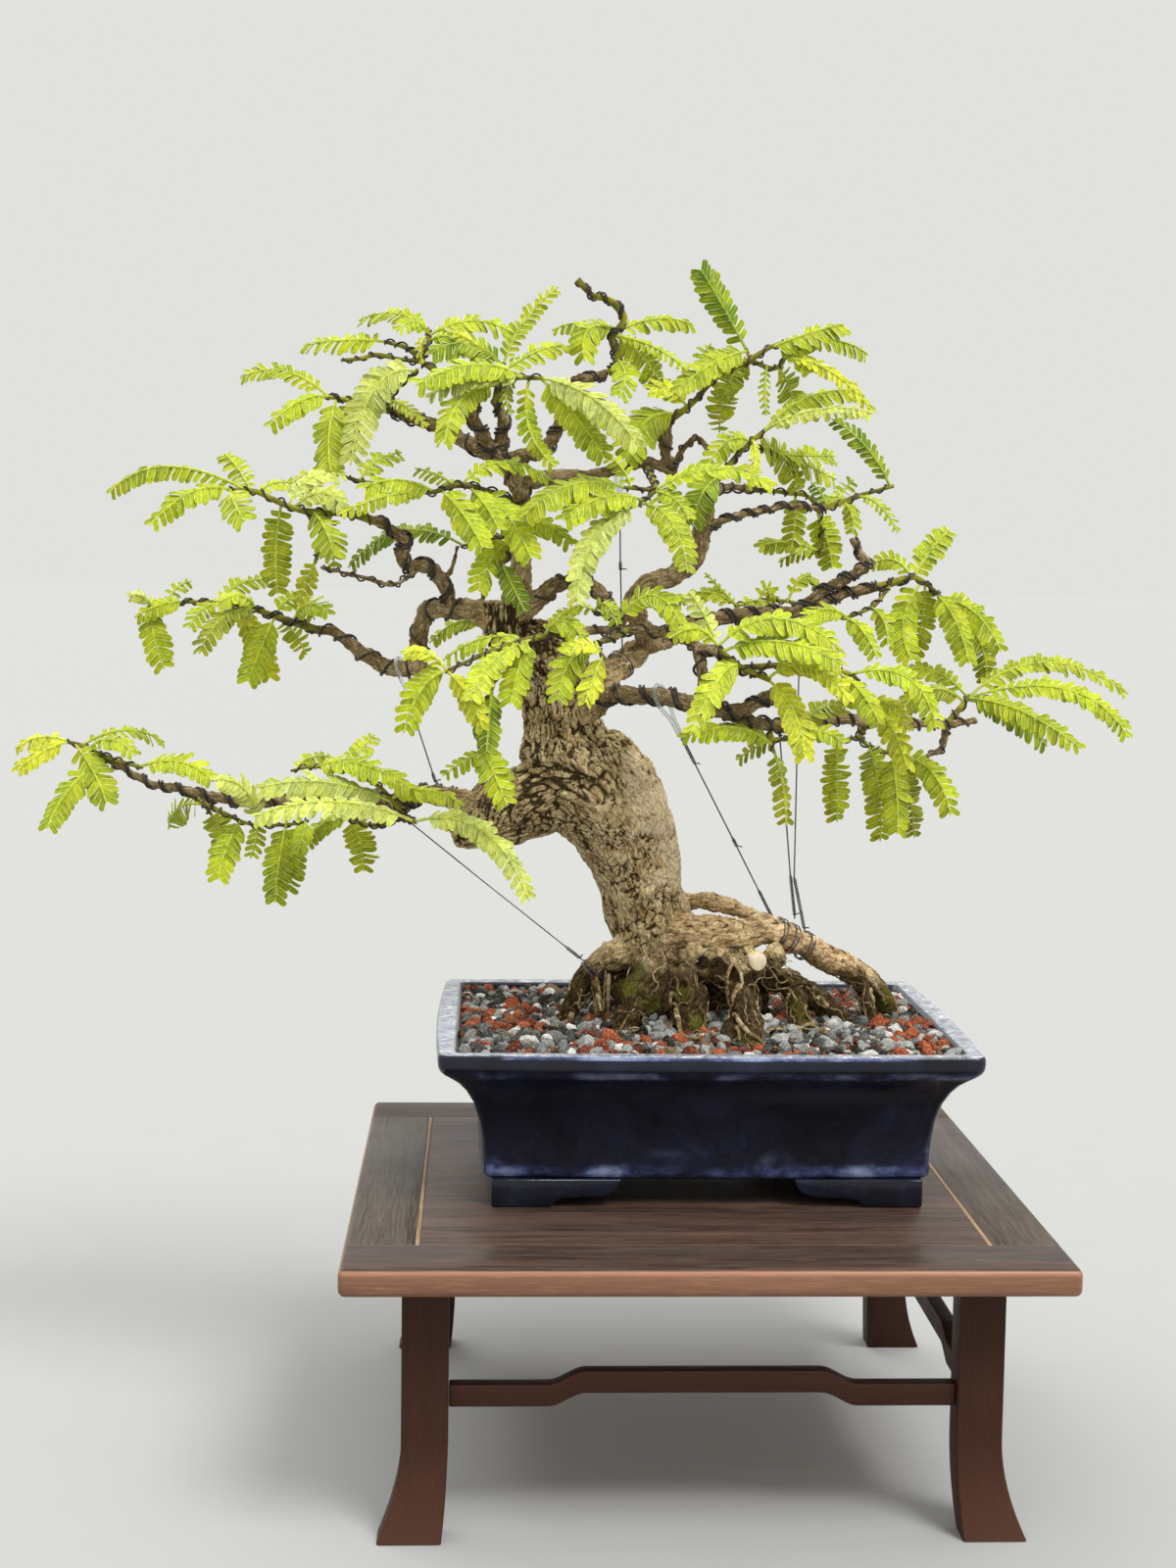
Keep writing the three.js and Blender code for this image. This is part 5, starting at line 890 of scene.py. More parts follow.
def bark_relief(mesh, limbs):
    """Moves the skin in and out as bark plates and cracks, and keeps what the colour needs."""
    samples = []
    for index, (kind, points, radii) in limbs:
        run = 0.0
        for i, (frame_here, point, radius) in enumerate(zip(parallel_frames(points), points, radii)):
            if i:
                run += (point - points[i - 1]).length
            samples.append((point, *frame_here, run, radius, kind, index))
    tree = finder([sample[0] for sample in samples])
    count = len(mesh.vertices)
    places = np.zeros(count * 3)
    mesh.vertices.foreach_get("co", places)
    normals = np.zeros(count * 3)
    mesh.vertex_normals.foreach_get("vector", normals)
    places = places.reshape(-1, 3)
    normals = normals.reshape(-1, 3)
    moved = places.copy()
    values = np.ones((count, 4), np.float32)
    styles = np.ones((count, 4), np.float32)
    spots = np.zeros((count, 3), np.float32)
    shift = np.array(SHIFT)
    for i in range(count):
        point = Vector((places[i] - shift) / MM)
        best = min(tree.find_n(point, 10), key=lambda hit: hit[2] - samples[hit[1]][5])
        centre, tangent, normal, across, run, radius, kind, index = samples[best[1]]
        off = point - centre
        flat = Vector((off.dot(normal), off.dot(across), 0))
        along = run + off.dot(tangent)
        long_plates = long_at(kind, point)
        depth, push = bark_at(kind, flat, along, radius, index, point, long_plates)
        moss = moss_at(point)
        push += 1.1 * moss * (0.6 + noise.noise(point * 0.9))
        moved[i] += normals[i] * push * MM
        values[i, :3] = depth, moss, tan_and_lit_side_at(point, kind, index)
        styles[i, :3] = long_plates, pale_at(point, kind), damp_at(point, kind, index, radius)
        spots[i] = flat.x * MM, flat.y * MM, (along + index * 57) * MM
    mesh.vertices.foreach_set("co", moved.ravel())
    for name, data in (("bark", values), ("style", styles)):
        mesh.attributes.new(name, "FLOAT_COLOR", "POINT").data.foreach_set("color", data.ravel())
    mesh.attributes.new("limb", "FLOAT_VECTOR", "POINT").data.foreach_set("vector", spots.ravel())
    mesh.update()


def crack_depth(place, width):
    """How deep in the gap between two cells, from 0 on a plate to 1 at its bottom."""
    near = noise.voronoi(place)[0]
    return max(0.0, 1 - (near[1] - near[0]) / width)


def fissure(place, width):
    """How deep in one of the long furrows that run where a slow noise changes sign, from 0 to 1."""
    near = abs(noise.noise(place)) + 0.1 * abs(noise.noise(place * 3.1))
    return max(0.0, 1 - near / width)


def rise(value, low, high):
    """0 below low, 1 above high, and a smooth step between."""
    t = min(max((value - low) / (high - low), 0), 1)
    return t * t * (3 - 2 * t)


def long_at(kind, point):
    """How drawn out the bark plates are: long on the neck and the burl, blocky on the lower trunk."""
    if kind == "burl":
        return 1.0
    if kind == "trunk":
        return rise(point.z, 312, 346)
    return 0.4 if kind == "root" else 0.75


HOLLOW = (-69.7, 311.7)  # the hollow under the knee, seen against the trunk's plane


def folds_at(point):
    """A place measured round the hollow under the knee, where the bark runs in folds, and how much it does."""
    x, z = plane_spot(point, POT["y"])
    away = math.hypot(x - HOLLOW[0], z - HOLLOW[1])
    turn = math.atan2(z - HOLLOW[1], x - HOLLOW[0])
    share = rise(47 - away, 0, 14) * rise(turn, 0.35, 1.0) * rise(3.3 - turn, 0, 0.5)
    return Vector((away, point.y * 0.2, turn * 6)), share


def plates(place, wide, small):
    """Bark cracked into plates, and each plate into smaller ones by finer cracks."""
    return max(crack_depth(place, wide), 0.5 * crack_depth(place * 2.15 + Vector((5, 9, 2)), small))


def bark_at(kind, flat, along, radius, index, point, long_plates):
    """Crack depth, and the push outwards in millimetres, at a place on a limb."""
    start = Vector((index * 7.3, index * 3.1, 0))
    if kind in ("trunk", "burl"):
        sway = noise.noise_vector(point * 0.075) * 3.4 + noise.noise_vector(point * 0.25) * 1.3
        sway += noise.noise_vector(point * 0.8) * 0.45
        place = Vector((flat.x, flat.y, along)) + sway
        gate = min(max(0.8 + 0.9 * noise.noise(point * 0.12), 0.3), 1)
        blocky = plates(Vector((place.x, place.y, place.z * 0.5)) * 0.24, 0.17, 0.2) * gate
        stretch = 0.16 if kind == "burl" else 0.2
        drawn = plates(Vector((place.x, place.y, place.z * stretch)) * 0.25 + start, 0.19, 0.18)
        stub = rise(point.z, 399, 408) if kind == "trunk" else 0
        if stub > 0:
            upright = point + sway * 0.35
            stripe = crack_depth(Vector((upright.x, upright.y, upright.z * 0.13)) * 0.42, 0.38)
            drawn = max(drawn * (1 - stub), stripe * stub)
        round_hollow, share = folds_at(point)
        if share > 0:
            drawn = drawn * (1 - share) + plates((round_hollow + sway * 0.5) * 0.24, 0.2, 0.18) * share
            long_plates = max(long_plates, share)
        depth = blocky * (1 - long_plates) + drawn * long_plates
        lumps = noise.fractal(point * 0.055, 1.0, 2.0, 3)
        small = noise.fractal(point * 0.42, 0.8, 2.0, 2)
        push = 0.5 + 1.3 * lumps + 0.4 * small - (0.9 + 1.1 * long_plates) * depth**1.2
    elif kind == "root":
        place = Vector((flat.x, flat.y, along * 0.35)) + noise.noise_vector(point * 0.11) * 1.8 + start
        depth = fissure(place * 0.24, 0.14) * (0.75 + 0.5 * noise.noise(point * 0.2))
        lumps = noise.fractal(point * 0.1 + start, 0.9, 2.0, 4)
        small = noise.fractal(point * 0.45, 0.8, 2.0, 2)
        # Painted shade: the hollows between the front roots are pressed in and made as dark as a crack.
        hollow = patches(PAINTED_SHADE_HOLLOWS, *plane_spot(point)) if point.y < 10 else 0
        push = min(radius / 8, 1.3) * (2.6 * lumps - 0.9 * depth) + 0.5 * small - 3 * rise(hollow, 0, 0.8)
        depth = max(depth, rise(hollow, 0.1, 0.6))
    else:
        place = Vector((flat.x, flat.y, along * 0.5)) + noise.noise_vector(point * 0.12) * 1.4 + start
        depth = fissure(place * 0.3, 0.14) * (0.5 + 0.45 * noise.noise(point * 0.2))
        rings = noise.noise(Vector((along * 0.55, index * 5.1, 0)))
        lumps = noise.fractal(point * 0.16 + start, 1.0, 2.0, 3)
        push = min(radius / 5, 1.2) * (1.7 * lumps - 0.8 * depth) + 0.45 * rings
    return max(depth, 0), push


def plane_spot(point, plane=0):
    """Where a point is seen against an upright plane."""
    reach = (plane - EYE.y) / (point.y - EYE.y)
    return EYE.x + (point.x - EYE.x) * reach, EYE.z + (point.z - EYE.z) * reach


def patches(spots, x, z):
    return max((max(0.0, 1 - math.hypot(x - a, z - b) / r) for a, b, r in spots), default=0)


MOSS = [
    (-30, 235, 10), (-18, 226, 9), (-16, 211, 9), (56, 222, 12), (68, 219, 9), (30, 206, 9),
    (42, 203, 7), (-2, 232, 8), (102, 230, 11), (-26, 244, 8), (6, 216, 8),
]

PALE = [
    (-25, 340, 12), (-18, 332, 14), (-13, 320, 12), (-9, 307, 12), (-5, 293, 11), (1, 280, 9), (-30, 352, 8),
    (6, 268, 8), (-22, 318, 6), (-14, 292, 6), (-27, 330, 6),
]

# Painted shade: where the hollows between the front roots are made dark.
PAINTED_SHADE_HOLLOWS = [
    (8, 248, 6), (16, 246, 8), (24, 243, 7), (44, 241, 7), (50, 237, 6), (33, 240, 5), (-2, 237, 4),
]


def moss_at(point):
    x, z = plane_spot(point)
    back = 0.55 * rise(noise.noise(point * 0.045), 0.25, 0.5) * rise(240 - point.z, 0, 16) if point.y > 30 else 0
    return max(patches(MOSS, x, z) * 0.95 if point.y < 40 else 0, back)


def tan_and_lit_side_at(point, kind, index):
    """Warm tan bark on the big surface root; down the right of the lower trunk a tan that is painted light, where the
    key light falls.
    """
    spread = 0.7 + 0.4 * noise.noise(point * 0.05)
    if kind in ("trunk", "burl"):
        # Painted light: the right of the lower trunk, where the key light falls, is made tan.
        lean = rise(point.x + (point.z - 260) * 0.35, -26, 8)
        scar = patches([(9, 275, 8)], *plane_spot(point))
        return max(0.5 * lean * rise(345 - point.z, 0, 60) * spread, scar)
    if kind == "root" and index - FIRST_ROOT in TAN_ROOTS:
        return rise(point.z, 232, 250) * spread * 1.2
    return 0.25 if kind != "root" else 0.0


def pale_at(point, kind):
    """Smooth worn skin, paler, on the right of the bulge and in a few patches below it."""
    if kind not in ("trunk", "burl"):
        return 0
    x, z = plane_spot(point)
    return patches(PALE, x, z) if point.y < 45 else 0.6 * rise(noise.noise(point * 0.04), 0.2, 0.5)


def damp_at(point, kind, index, radius):
    """How damp and dark a root is: most of all low down and on the inner roots. Thin branches are dark too."""
    if kind == "trunk":
        return 0.75 * rise(246 - point.z, 0, 22)
    if kind != "root":
        return 0 if kind == "burl" else 0.62 * rise(7.5 - radius, 0, 4)
    dry = 0.8 if index - FIRST_ROOT in TAN_ROOTS else 0
    return max(0.0, rise(256 - point.z, 0, 16) - dry * rise(point.z, 226, 240))


FIRST_ROOT = 2  # the trunk and the burl come before the roots
TAN_ROOTS = (3, 5)


SKIN_SIZES = {"trunk": 0.87, "roots": 1.08, "limbs": 0.98, "branches": 0.93}  # of the wood's mesh faces


def make_wood(material):
    limbs = list(enumerate(fine_limbs()))
    groups = {name: (Build(), size, []) for name, size in SKIN_SIZES.items()}
    for index, (kind, points, radii) in limbs:
        thick = max(radii)
        name = "limbs" if thick > 6.5 else "branches"
        if kind in ("trunk", "burl", "root"):
            name = "roots" if kind == "root" else "trunk"
        sides = 28 if thick > 12 else 16 if thick > 5 else 10
        build, _, members = groups[name]
        build.tube(points, radii, sides, bumps=0.05 if kind == "root" else 0.08)
        members.append((index, (kind, points, radii)))
    for name, (build, size, members) in groups.items():
        mesh = voxel_union(name, build, size)
        bark_relief(mesh, members)
        piece(name, mesh, "bark", material, "tree_wood", angle=180)


def make_sawn_root(material):
    """The sawn end of a root stub that faces the viewer."""
    (a, b), _ = route([[30, 252, 4, 6], [36, 249, -7, 4.6]], 0)
    ahead = (b - a).normalized()
    build = Build()
    build.tube([b - ahead * 3, b + ahead * 1.8, b + ahead * 2.8, b + ahead * 3.1], [4.3, 4.7, 4.5, 3.7], 20)
    piece("sawn_root", build.mesh("sawn_root"), "bark", material, "tree_wood")


def on_wood(limbs):
    """A finder of the nearest limb sample: its centre, radius and kind."""
    samples = [(p, r, kind) for kind, points, radii in limbs for p, r in zip(points, radii)]
    tree = finder([sample[0] for sample in samples])
    return tree, samples


def make_rootlets(material):
    """Thin roots that creep over the big ones and down over the gravel."""
    chance = random.Random(11)
    tree, samples = on_wood([limb for limb in fine_limbs() if limb[0] == "root"])
    build = Build()
    starts = [sample for sample in samples if sample[0].z < 252 and sample[1] > 3]
    for number in range(230):
        thick = number % 6 == 0
        centre, radius, _ = chance.choice(starts)
        heading = Vector((chance.gauss(0, 1), chance.gauss(-0.6, 1), chance.gauss(-0.3, 0.8))).normalized()
        points = [centre + heading * radius]
        wild = 0.2 if thick else 0.42
        for _ in range(chance.randint(8, 26)):
            wander = Vector((chance.gauss(0, wild), chance.gauss(0, wild), chance.gauss(-0.12, wild)))
            heading = (heading + wander).normalized()
            step = points[-1] + heading * 2
            hit = min(tree.find_n(step, 6), key=lambda h: h[2] - samples[h[1]][1])
            middle, size, _ = samples[hit[1]]
            floor = soil_height(step.x, step.y) + 1.6
            if hit[2] - size < 5 and step.z > floor:
                step = middle + (step - middle).normalized() * (size + chance.uniform(0.1, 0.7))
            else:
                step.z = floor + chance.uniform(-0.5, 0.6)
            if abs(step.x - POT["x"]) > 112 or abs(step.y - POT["y"]) > 80:
                break
            points.append(step)
        if len(points) < 5:
            continue
        smooth, _ = smooth_route(points, [1] * len(points), 1.6)
        radius = chance.uniform(1.0, 2.0) if thick else chance.uniform(0.25, 0.7)
        sizes = [radius * (1 - 0.6 * i / len(smooth)) for i in range(len(smooth))]
        build.tube(smooth, sizes, 7 if thick else 5, bumps=0.2)
    mesh = build.mesh("rootlets")
    count = len(mesh.vertices)
    for name, value in (("bark", (0.05, 0, 0.3, 1)), ("style", (0, 0, 0.6, 1))):
        layer = mesh.attributes.new(name, "FLOAT_COLOR", "POINT")
        layer.data.foreach_set("color", np.tile(np.array(value, np.float32), count))
    piece("rootlets", mesh, "bark", material, "tree_wood")


# Leaves
TONES = {
    "m": (0.38, 0.47, 0.008), "b": (0.62, 0.72, 0.035), "y": (0.7, 0.73, 0.03), "o": (0.29, 0.33, 0.02),
    "d": (0.12, 0.23, 0.003), "p": (0.6, 0.67, 0.17), "s": (0.12, 0.075, 0.035),
}
PITCH = 3.7  # between pairs of leaflets


def nearest(shoots, point):
    """The nearest point of the shoots' centre lines, a little way in from their ends."""
    best = None
    for points in shoots:
        for a, b in zip(points, points[1:]):
            length = (b - a).length
            inset = 1.5 / length
            t = min(max((point - a).dot(b - a) / length**2, inset), 1 - inset)
            spot = a.lerp(b, t)
            if best is None or (spot - point).length < (best - point).length:
                best = spot
    return best


LEAFLET = [(0.0, 0.3), (0.07, 0.9), (0.3, 1.0), (0.7, 0.98), (0.92, 0.68), (1.0, 0.2)]


def leaflet(build, foot, along, side, face, length, width, tone, fold, curl):
    """An oblong leaflet, folded a little along its midrib and bent down towards its blunt tip."""
    rows = []
    thick = 0.3
    for t, share in LEAFLET:
        bend = curl * t * t * length
        middle = foot + along * (length * t) - face * bend
        half = width / 2 * share
        edge_lift = half * fold
        left = middle - side * half + face * edge_lift
        right = middle + side * half + face * edge_lift
        drop = face * (thick * (0.6 if t in (0.0, 1.0) else 1))
        rows.append([
            build.point(left, tone, (-share, t)), build.point(middle, tone, (0, t)),
            build.point(right, tone, (share, t)), build.point(right - drop, tone, (share, t)),
            build.point(middle - drop, tone, (0, t)), build.point(left - drop, tone, (-share, t)),
        ])
    for row, after in zip(rows, rows[1:]):
        for j in range(6):
            k = (j + 1) % 6
            build.faces.append((row[j], after[j], after[k], row[k]))
    first, last = rows[0], rows[-1]
    build.faces += [(first[0], first[1], first[4], first[5]), (first[1], first[2], first[3], first[4])]
    build.faces += [(last[1], last[0], last[5], last[4]), (last[2], last[1], last[4], last[3])]


def frond(build, leaf, shoots, letter, chance):
    """A pinnate leaf along the same rib as its solid."""
    x0, z0, x1, z1, x2, z2, foot_depth, tip_depth, turn = leaf[:9]
    closed = leaf[9] if len(leaf) > 9 else 1
    foot = nearest(shoots, seen(x0, z0, foot_depth))
    middle = seen(x1, z1, (foot_depth + tip_depth) / 2)
    tip = seen(x2, z2, tip_depth)
    pull = middle * 2 - (foot + tip) / 2
    tilt = math.radians(turn)
    upper = Vector((0, -math.sin(tilt), math.cos(tilt)))

    def at(t):
        return foot * (1 - t) ** 2 + pull * (2 * t * (1 - t)) + tip * t * t

    steps = 24
    ribs = [at(i / steps) for i in range(steps + 1)]
    length = sum((b - a).length for a, b in zip(ribs, ribs[1:]))
    base = Vector(TONES[letter])
    base = base * chance.uniform(0.78, 1.12)
    stem_tone = base * 0.5 + Vector(TONES["p"]) * 0.55
    ends = ribs[:: 2]
    build.tube(ends, [0.85 - 0.42 * i / len(ends) for i in range(len(ends))], 5, stem_tone)
    opened = min(max((turn - 35) / 45, 0), 1)
    narrowed = closed * (0.74 + 0.26 * opened)
    half_width = narrowed * min(8.5, 0.16 * length + 2.2) * (1.16 - 0.08 * opened)
    young = letter == "y"
    pairs = max(5, round(length * 0.9 / PITCH))
    sag = math.radians(chance.uniform(-30, -6))
    for i in range(pairs):
        t = 0.1 + 0.885 * (i + 0.3) / pairs
        here = at(t)
        ahead = ((pull - foot) * (1 - t) + (tip - pull) * t).normalized()
        side = ahead.cross(upper).normalized()
        face = side.cross(ahead)
        envelope = math.sin(math.pi * (0.2 + 0.62 * (i + 0.5) / pairs)) ** 0.6
        for sign in (1, -1):
            swept = 22 * (i / pairs) ** 3 + (14 if young else 0) + 16 * (1 - narrowed)
            spread = math.radians(chance.gauss(66, 4) - swept)
            size = half_width * envelope * chance.uniform(0.92, 1.06) / math.sin(math.radians(66))
            lean = sag + math.radians(chance.gauss(0, 8))
            out = side * sign
            along = (ahead * math.cos(spread) + out * math.sin(spread))
            along = (along * math.cos(lean) + face * math.sin(lean)).normalized()
            cross = (ahead * math.sin(spread) - out * math.cos(spread)) * -sign
            cross = (cross - along * cross.dot(along)).normalized()
            cross = Quaternion(along, math.radians(chance.gauss(0, 12))) @ cross
            normal = cross.cross(along)
            if normal.dot(face) < 0:
                normal = -normal
                cross = -cross
            tone = base * chance.uniform(0.76, 1.18)
            width = min(PITCH * 1.06, size * 0.46)
            leaflet(build, here, along, cross, normal, size, width, tone,
                    chance.uniform(0.02, 0.25) + (0.25 if young else 0), chance.uniform(0.02, 0.14))


def make_sprays(material):
    chance = random.Random(5)
    for name, (letters, stems, leaves) in SPRAYS.items():
        build = Build()
        shoots = []
        for stops in stems:
            points, radii = route(stops)
            shoots.append(points)
            fine, sizes = smooth_route(points, radii, 2.5)
            build.tube(fine, [r * 0.92 for r in sizes], 8, Vector(TONES["s"]), bumps=0.4)
            for i in range(3, len(fine) - 1, chance.randint(5, 7)):
                knob = fine[i]
                build.tube([knob + Vector((0, 0, -0.9)), knob, knob + Vector((0.3, 0, 0.9))],
                           [sizes[i] * 0.9, sizes[i] * 1.35, sizes[i] * 0.9], 6, Vector(TONES["s"]) * 0.8)
        for letter, leaf in zip(letters, leaves):
            frond(build, leaf, shoots, letter, chance)
        mesh = build.mesh("leaves_" + name)
        set_tones(mesh, build.tones)
        layer = mesh.uv_layers.new(name="leaf")
        corners = np.zeros(len(mesh.loops), np.int32)
        mesh.loops.foreach_get("vertex_index", corners)
        layer.data.foreach_set("uv", np.array(build.uvs, np.float32)[corners].ravel())
        piece("leaves_" + name, mesh, "leaf", material, "spray_" + name, angle=50)


# Wires
WIRED = {
    "low_left": (("low_left", "low_left_stub"), ("low_left_tip", "low_left_outer", "low_left_inner")),
    "middle_left": (("middle_left",), ("middle_left",)),
    "upper_left": (("upper_left", "upper_left_twig"), ("upper_left_tip",)),
    "crown": (
        ("leader", "crown_back", "crown_middle"),
        ("crown_left", "crown_left_top", "crown_front", "upper_left_inner", "column_left"),
    ),
    "crown_right": (("crown_right", "across_twig", "diagonal"), ("top", "top_right", "right_inner")),
    "right": (
        ("right", "right_up", "climb_side", "climb_back", "column_right"),
        ("right_middle", "crown_right", "right_upper", "right_upper_back"),
    ),
    "front_right": (
        ("front_right", "front_right_low", "tip_drop", "front_up", "front_up_right"),
        ("front_left", "front_middle", "front_right", "front_right_outer", "right_lower", "right_hanging", "right_tip"),
    ),
}


def make_wires(material):
    chance = random.Random(3)
    for name, (branches, sprays) in WIRED.items():
        build = Build()
        for branch in branches:
            wind(build, BRANCHES[branch], chance)
        for spray in sprays:
            for stops in SPRAYS[spray][1]:
                wind(build, stops, chance)
        piece("training_wire_" + name, build.mesh("training_wire_" + name), "training_wire", material,
              "wire_" + name)


def wind(build, stops, chance):
    """Winds wire along a limb where it is thin enough: two strands side by side on some of the thicker ones."""
    points, radii = route(stops)
    fine, sizes = smooth_route(points, radii, 1)
    first = next(i for i, size in enumerate(sizes) if size < 5.6)
    frames = parallel_frames(fine)
    steps = 12
    strands = 2 if sizes[first] > 2.3 and chance.random() < 0.55 else 1
    phase = chance.uniform(0, 6)
    hand = chance.choice((-1, 1))
    for strand in range(strands):
        helix, thick = [], []
        spot = first + 2 + strand * 0.5
        angle = phase
        while spot < len(fine) - 2:
            k = int(spot)
            centre = fine[k].lerp(fine[k + 1], spot - k)
            tangent, normal, across = frames[k]
            wire = 0.36 + 0.12 * min(sizes[k], 3.2)
            wobble = angle + 0.6 * math.sin(angle * 0.29 + phase)
            slack = 0.22 * (1 + math.sin(angle * 0.83 + phase * 2))
            out = normal * math.cos(wobble) + across * (math.sin(wobble) * hand)
            helix.append(centre + out * (sizes[k] + wire * 0.6 + slack) + tangent * strand * wire * 2.4)
            thick.append(wire)
            spot += (6.6 + 1.9 * sizes[k]) / steps
            angle += 2 * math.pi / steps
        if len(helix) > 6:
            build.tube(helix, thick, 6)


def twisted(build, start, end, radius, strands_radius, turns):
    """Two thin strands twisted round each other between two points."""
    axis = (end - start).normalized()
    normal = axis.orthogonal().normalized()
    across = axis.cross(normal)
    for phase in (0, math.pi):
        points = []
        steps = turns * 8
        for i in range(steps + 1):
            angle = 2 * math.pi * i / 8 + phase
            fade = min(i, steps - i, 3) / 3
            reach = strands_radius * fade
            points.append(start.lerp(end, i / steps) + (normal * math.cos(angle) + across * math.sin(angle)) * reach)
        build.tube(points, [radius] * len(points), 6)


TWISTS = {  # where the two strands of a guy are wound on each other: from and to, along the wire
    "low_left": [(3, 9), (-16, -6)],
    "middle_left": [(22, 28), (-10, -4)],
    "across": [(22, 28), (46, 51), (-8, -3)],
    "front": [(22, 40), (84, 90), (-26, -6)],
    "right_front": [(4, 9), (-30, -4)],
    "right": [(4, 9), (-32, -4)],
}


def make_guys(material, clear):
    limbs = [limb[1:] for limb in fine_limbs()]
    chance = random.Random(9)
    for name, stops in GUYS.items():
        points = [seen(*stop) for stop in stops]
        sleeved = name in ("middle_left", "across", "front")
        build = Build()
        total = sum((b - a).length for a, b in zip(points, points[1:]))

        def at(distance):
            for a, b in zip(points, points[1:]):
                if distance <= (b - a).length:
                    break
                distance -= (b - a).length
            return a.lerp(b, distance / (b - a).length)

        stretches = [[t if t >= 0 else total + t for t in pair] for pair in TWISTS[name]]
        marks = [22.0 if sleeved else 3.0] + [t for pair in stretches for t in pair] + [total - 2]
        for start, end in zip(marks[::2], marks[1::2]):
            if end - start > 1:
                steps = max(2, round((end - start) / 8))
                line = [at(start + (end - start) * i / steps) for i in range(steps + 1)]
                build.tube(line, [0.4] * len(line), 6)
        for start, end in stretches:
            twisted(build, at(start), at(end), 0.4, 0.62, max(2, round((end - start) / 3)))
            tail = at(end)
            away = Vector((chance.uniform(0.4, 1), chance.uniform(-0.6, 0.2), chance.uniform(-0.2, 0.7)))
            bend = tail + away * 2 + Vector((0, 0, 0.6))
            build.tube([at(end - 1), tail, bend, tail + away * chance.uniform(3, 5)], [0.36] * 4, 5)
        for end in ((points[-1],) if sleeved else (points[0], points[-1])):
            wrap(build, limbs, end, 3 if end is points[-1] else 2)
        piece("guy_line_" + name, build.mesh("guy_line_" + name), "guy_wire", material, "guy_wire_" + name)
        if sleeved:
            sleeve = sleeve_loop(limbs, points[0], at(22))
            piece("sleeve_tube_" + name, sleeve, "clear_sleeve", clear, "sleeve_" + name)


def nearest_spot(limbs, point):
    """The centre, direction and radius of the limb nearest to a point."""
    found = []
    for points, radii in limbs:
        i = min(range(len(points)), key=lambda k: (points[k] - point).length_squared)
        ahead = points[min(i + 1, len(points) - 1)] - points[max(i - 1, 0)]
        found.append(((points[i] - point).length - radii[i], points[i], ahead.normalized(), radii[i]))
    return min(found, key=lambda item: item[0])[1:]


def wrap(build, limbs, point, turns):
    """Turns of thin wire round the limb at a point."""
    centre, along, radius = nearest_spot(limbs, point)
    normal = along.orthogonal().normalized()
    across = along.cross(normal)
    helix = []
    for i in range(turns * 18 + 1):
        angle = 2 * math.pi * i / 18
        out = normal * math.cos(angle) + across * math.sin(angle)
        sway = 0.5 * math.sin(angle * 0.6)
        helix.append(centre + along * (i / 18 - turns / 2 + sway) * 1.2 + out * (radius + 0.7))
    build.tube(helix, [0.42] * len(helix), 6)


def sleeve_loop(limbs, point, end):
    """A clear sleeve that goes over the limb and hangs down on both sides, to where the wires meet."""
    centre, along, radius = nearest_spot(limbs, point)
    down = (end - centre).normalized()
    side = along.cross(down).normalized()
    reach = radius + 1.7
    path = [end + side * 1.2, end - down * 8 + side * 1.6, centre + down * 3 + side * reach]
    for i in range(1, 8):
        angle = math.pi * i / 8
        path.append(centre + side * (math.cos(angle) * reach) - down * (math.sin(angle) * reach))
    path += [centre + down * 3 - side * reach, end - down * 8 - side * 1.6, end - side * 1.2]
    smooth, _ = smooth_route(path, [1] * len(path), 1.2)
    build = Build()
    build.tube(smooth, [1.05] * len(smooth), 12)
    return build.mesh("sleeve")


# Pot
POT_OUTSIDE = [
    (26, 149.4, 4), (23.8, 149.8, 4), (22.4, 151.2, 4), (21.9, 153.2, 4), (22, 158, 4), (21.3, 169, 4), (19.9, 179, 4),
    (17.2, 188.5, 4), (13.6, 195, 4.5), (10, 199.3, 5), (6.4, 202.3, 5), (3.2, 204.8, 5), (1.3, 206.8, 5),
    (0.3, 208.8, 5), (0, 211, 5), (0, 213.6, 5), (0.35, 215, 5), (1.1, 215.8, 5), (2.2, 216, 4.6), (6, 215.9, 4.3),
    (9.4, 215.7, 4), (10.9, 215.3, 4), (12, 214.2, 4), (13.2, 212.4, 4), (14.6, 208, 4), (17.5, 203, 4),
    (22, 197, 4), (28, 184, 4), (31.5, 157, 4),
]


def pot_ring(inset, z, corner, bow):
    half_w = POT["width"] / 2 - inset - bow
    half_d = POT["depth"] / 2 - inset - bow
    ring = []
    sides = [(1, 1, 0), (-1, 1, 90), (-1, -1, 180), (1, -1, 270)]
    for number, (sx, sy, start) in enumerate(sides):
        for j in range(9):
            angle = math.radians(start + 90 * j / 8)
            ring.append((sx * (half_w - corner) + corner * math.cos(angle),
                         sy * (half_d - corner) + corner * math.sin(angle)))
        after = sides[(number + 1) % 4]
        a = Vector(ring[-1])
        angle = math.radians(after[2])
        b = Vector((after[0] * (half_w - corner) + corner * math.cos(angle),
                    after[1] * (half_d - corner) + corner * math.sin(angle)))
        out = Vector((0, sy)) if number % 2 == 0 else Vector((sx, 0))
        for j in range(1, 22):
            t = j / 22
            point = a.lerp(b, t) + out * (bow * (1 - (2 * t - 1) ** 2))
            ring.append(tuple(point))
    return [Vector((POT["x"] + x, POT["y"] + y, z)) for x, y in ring]


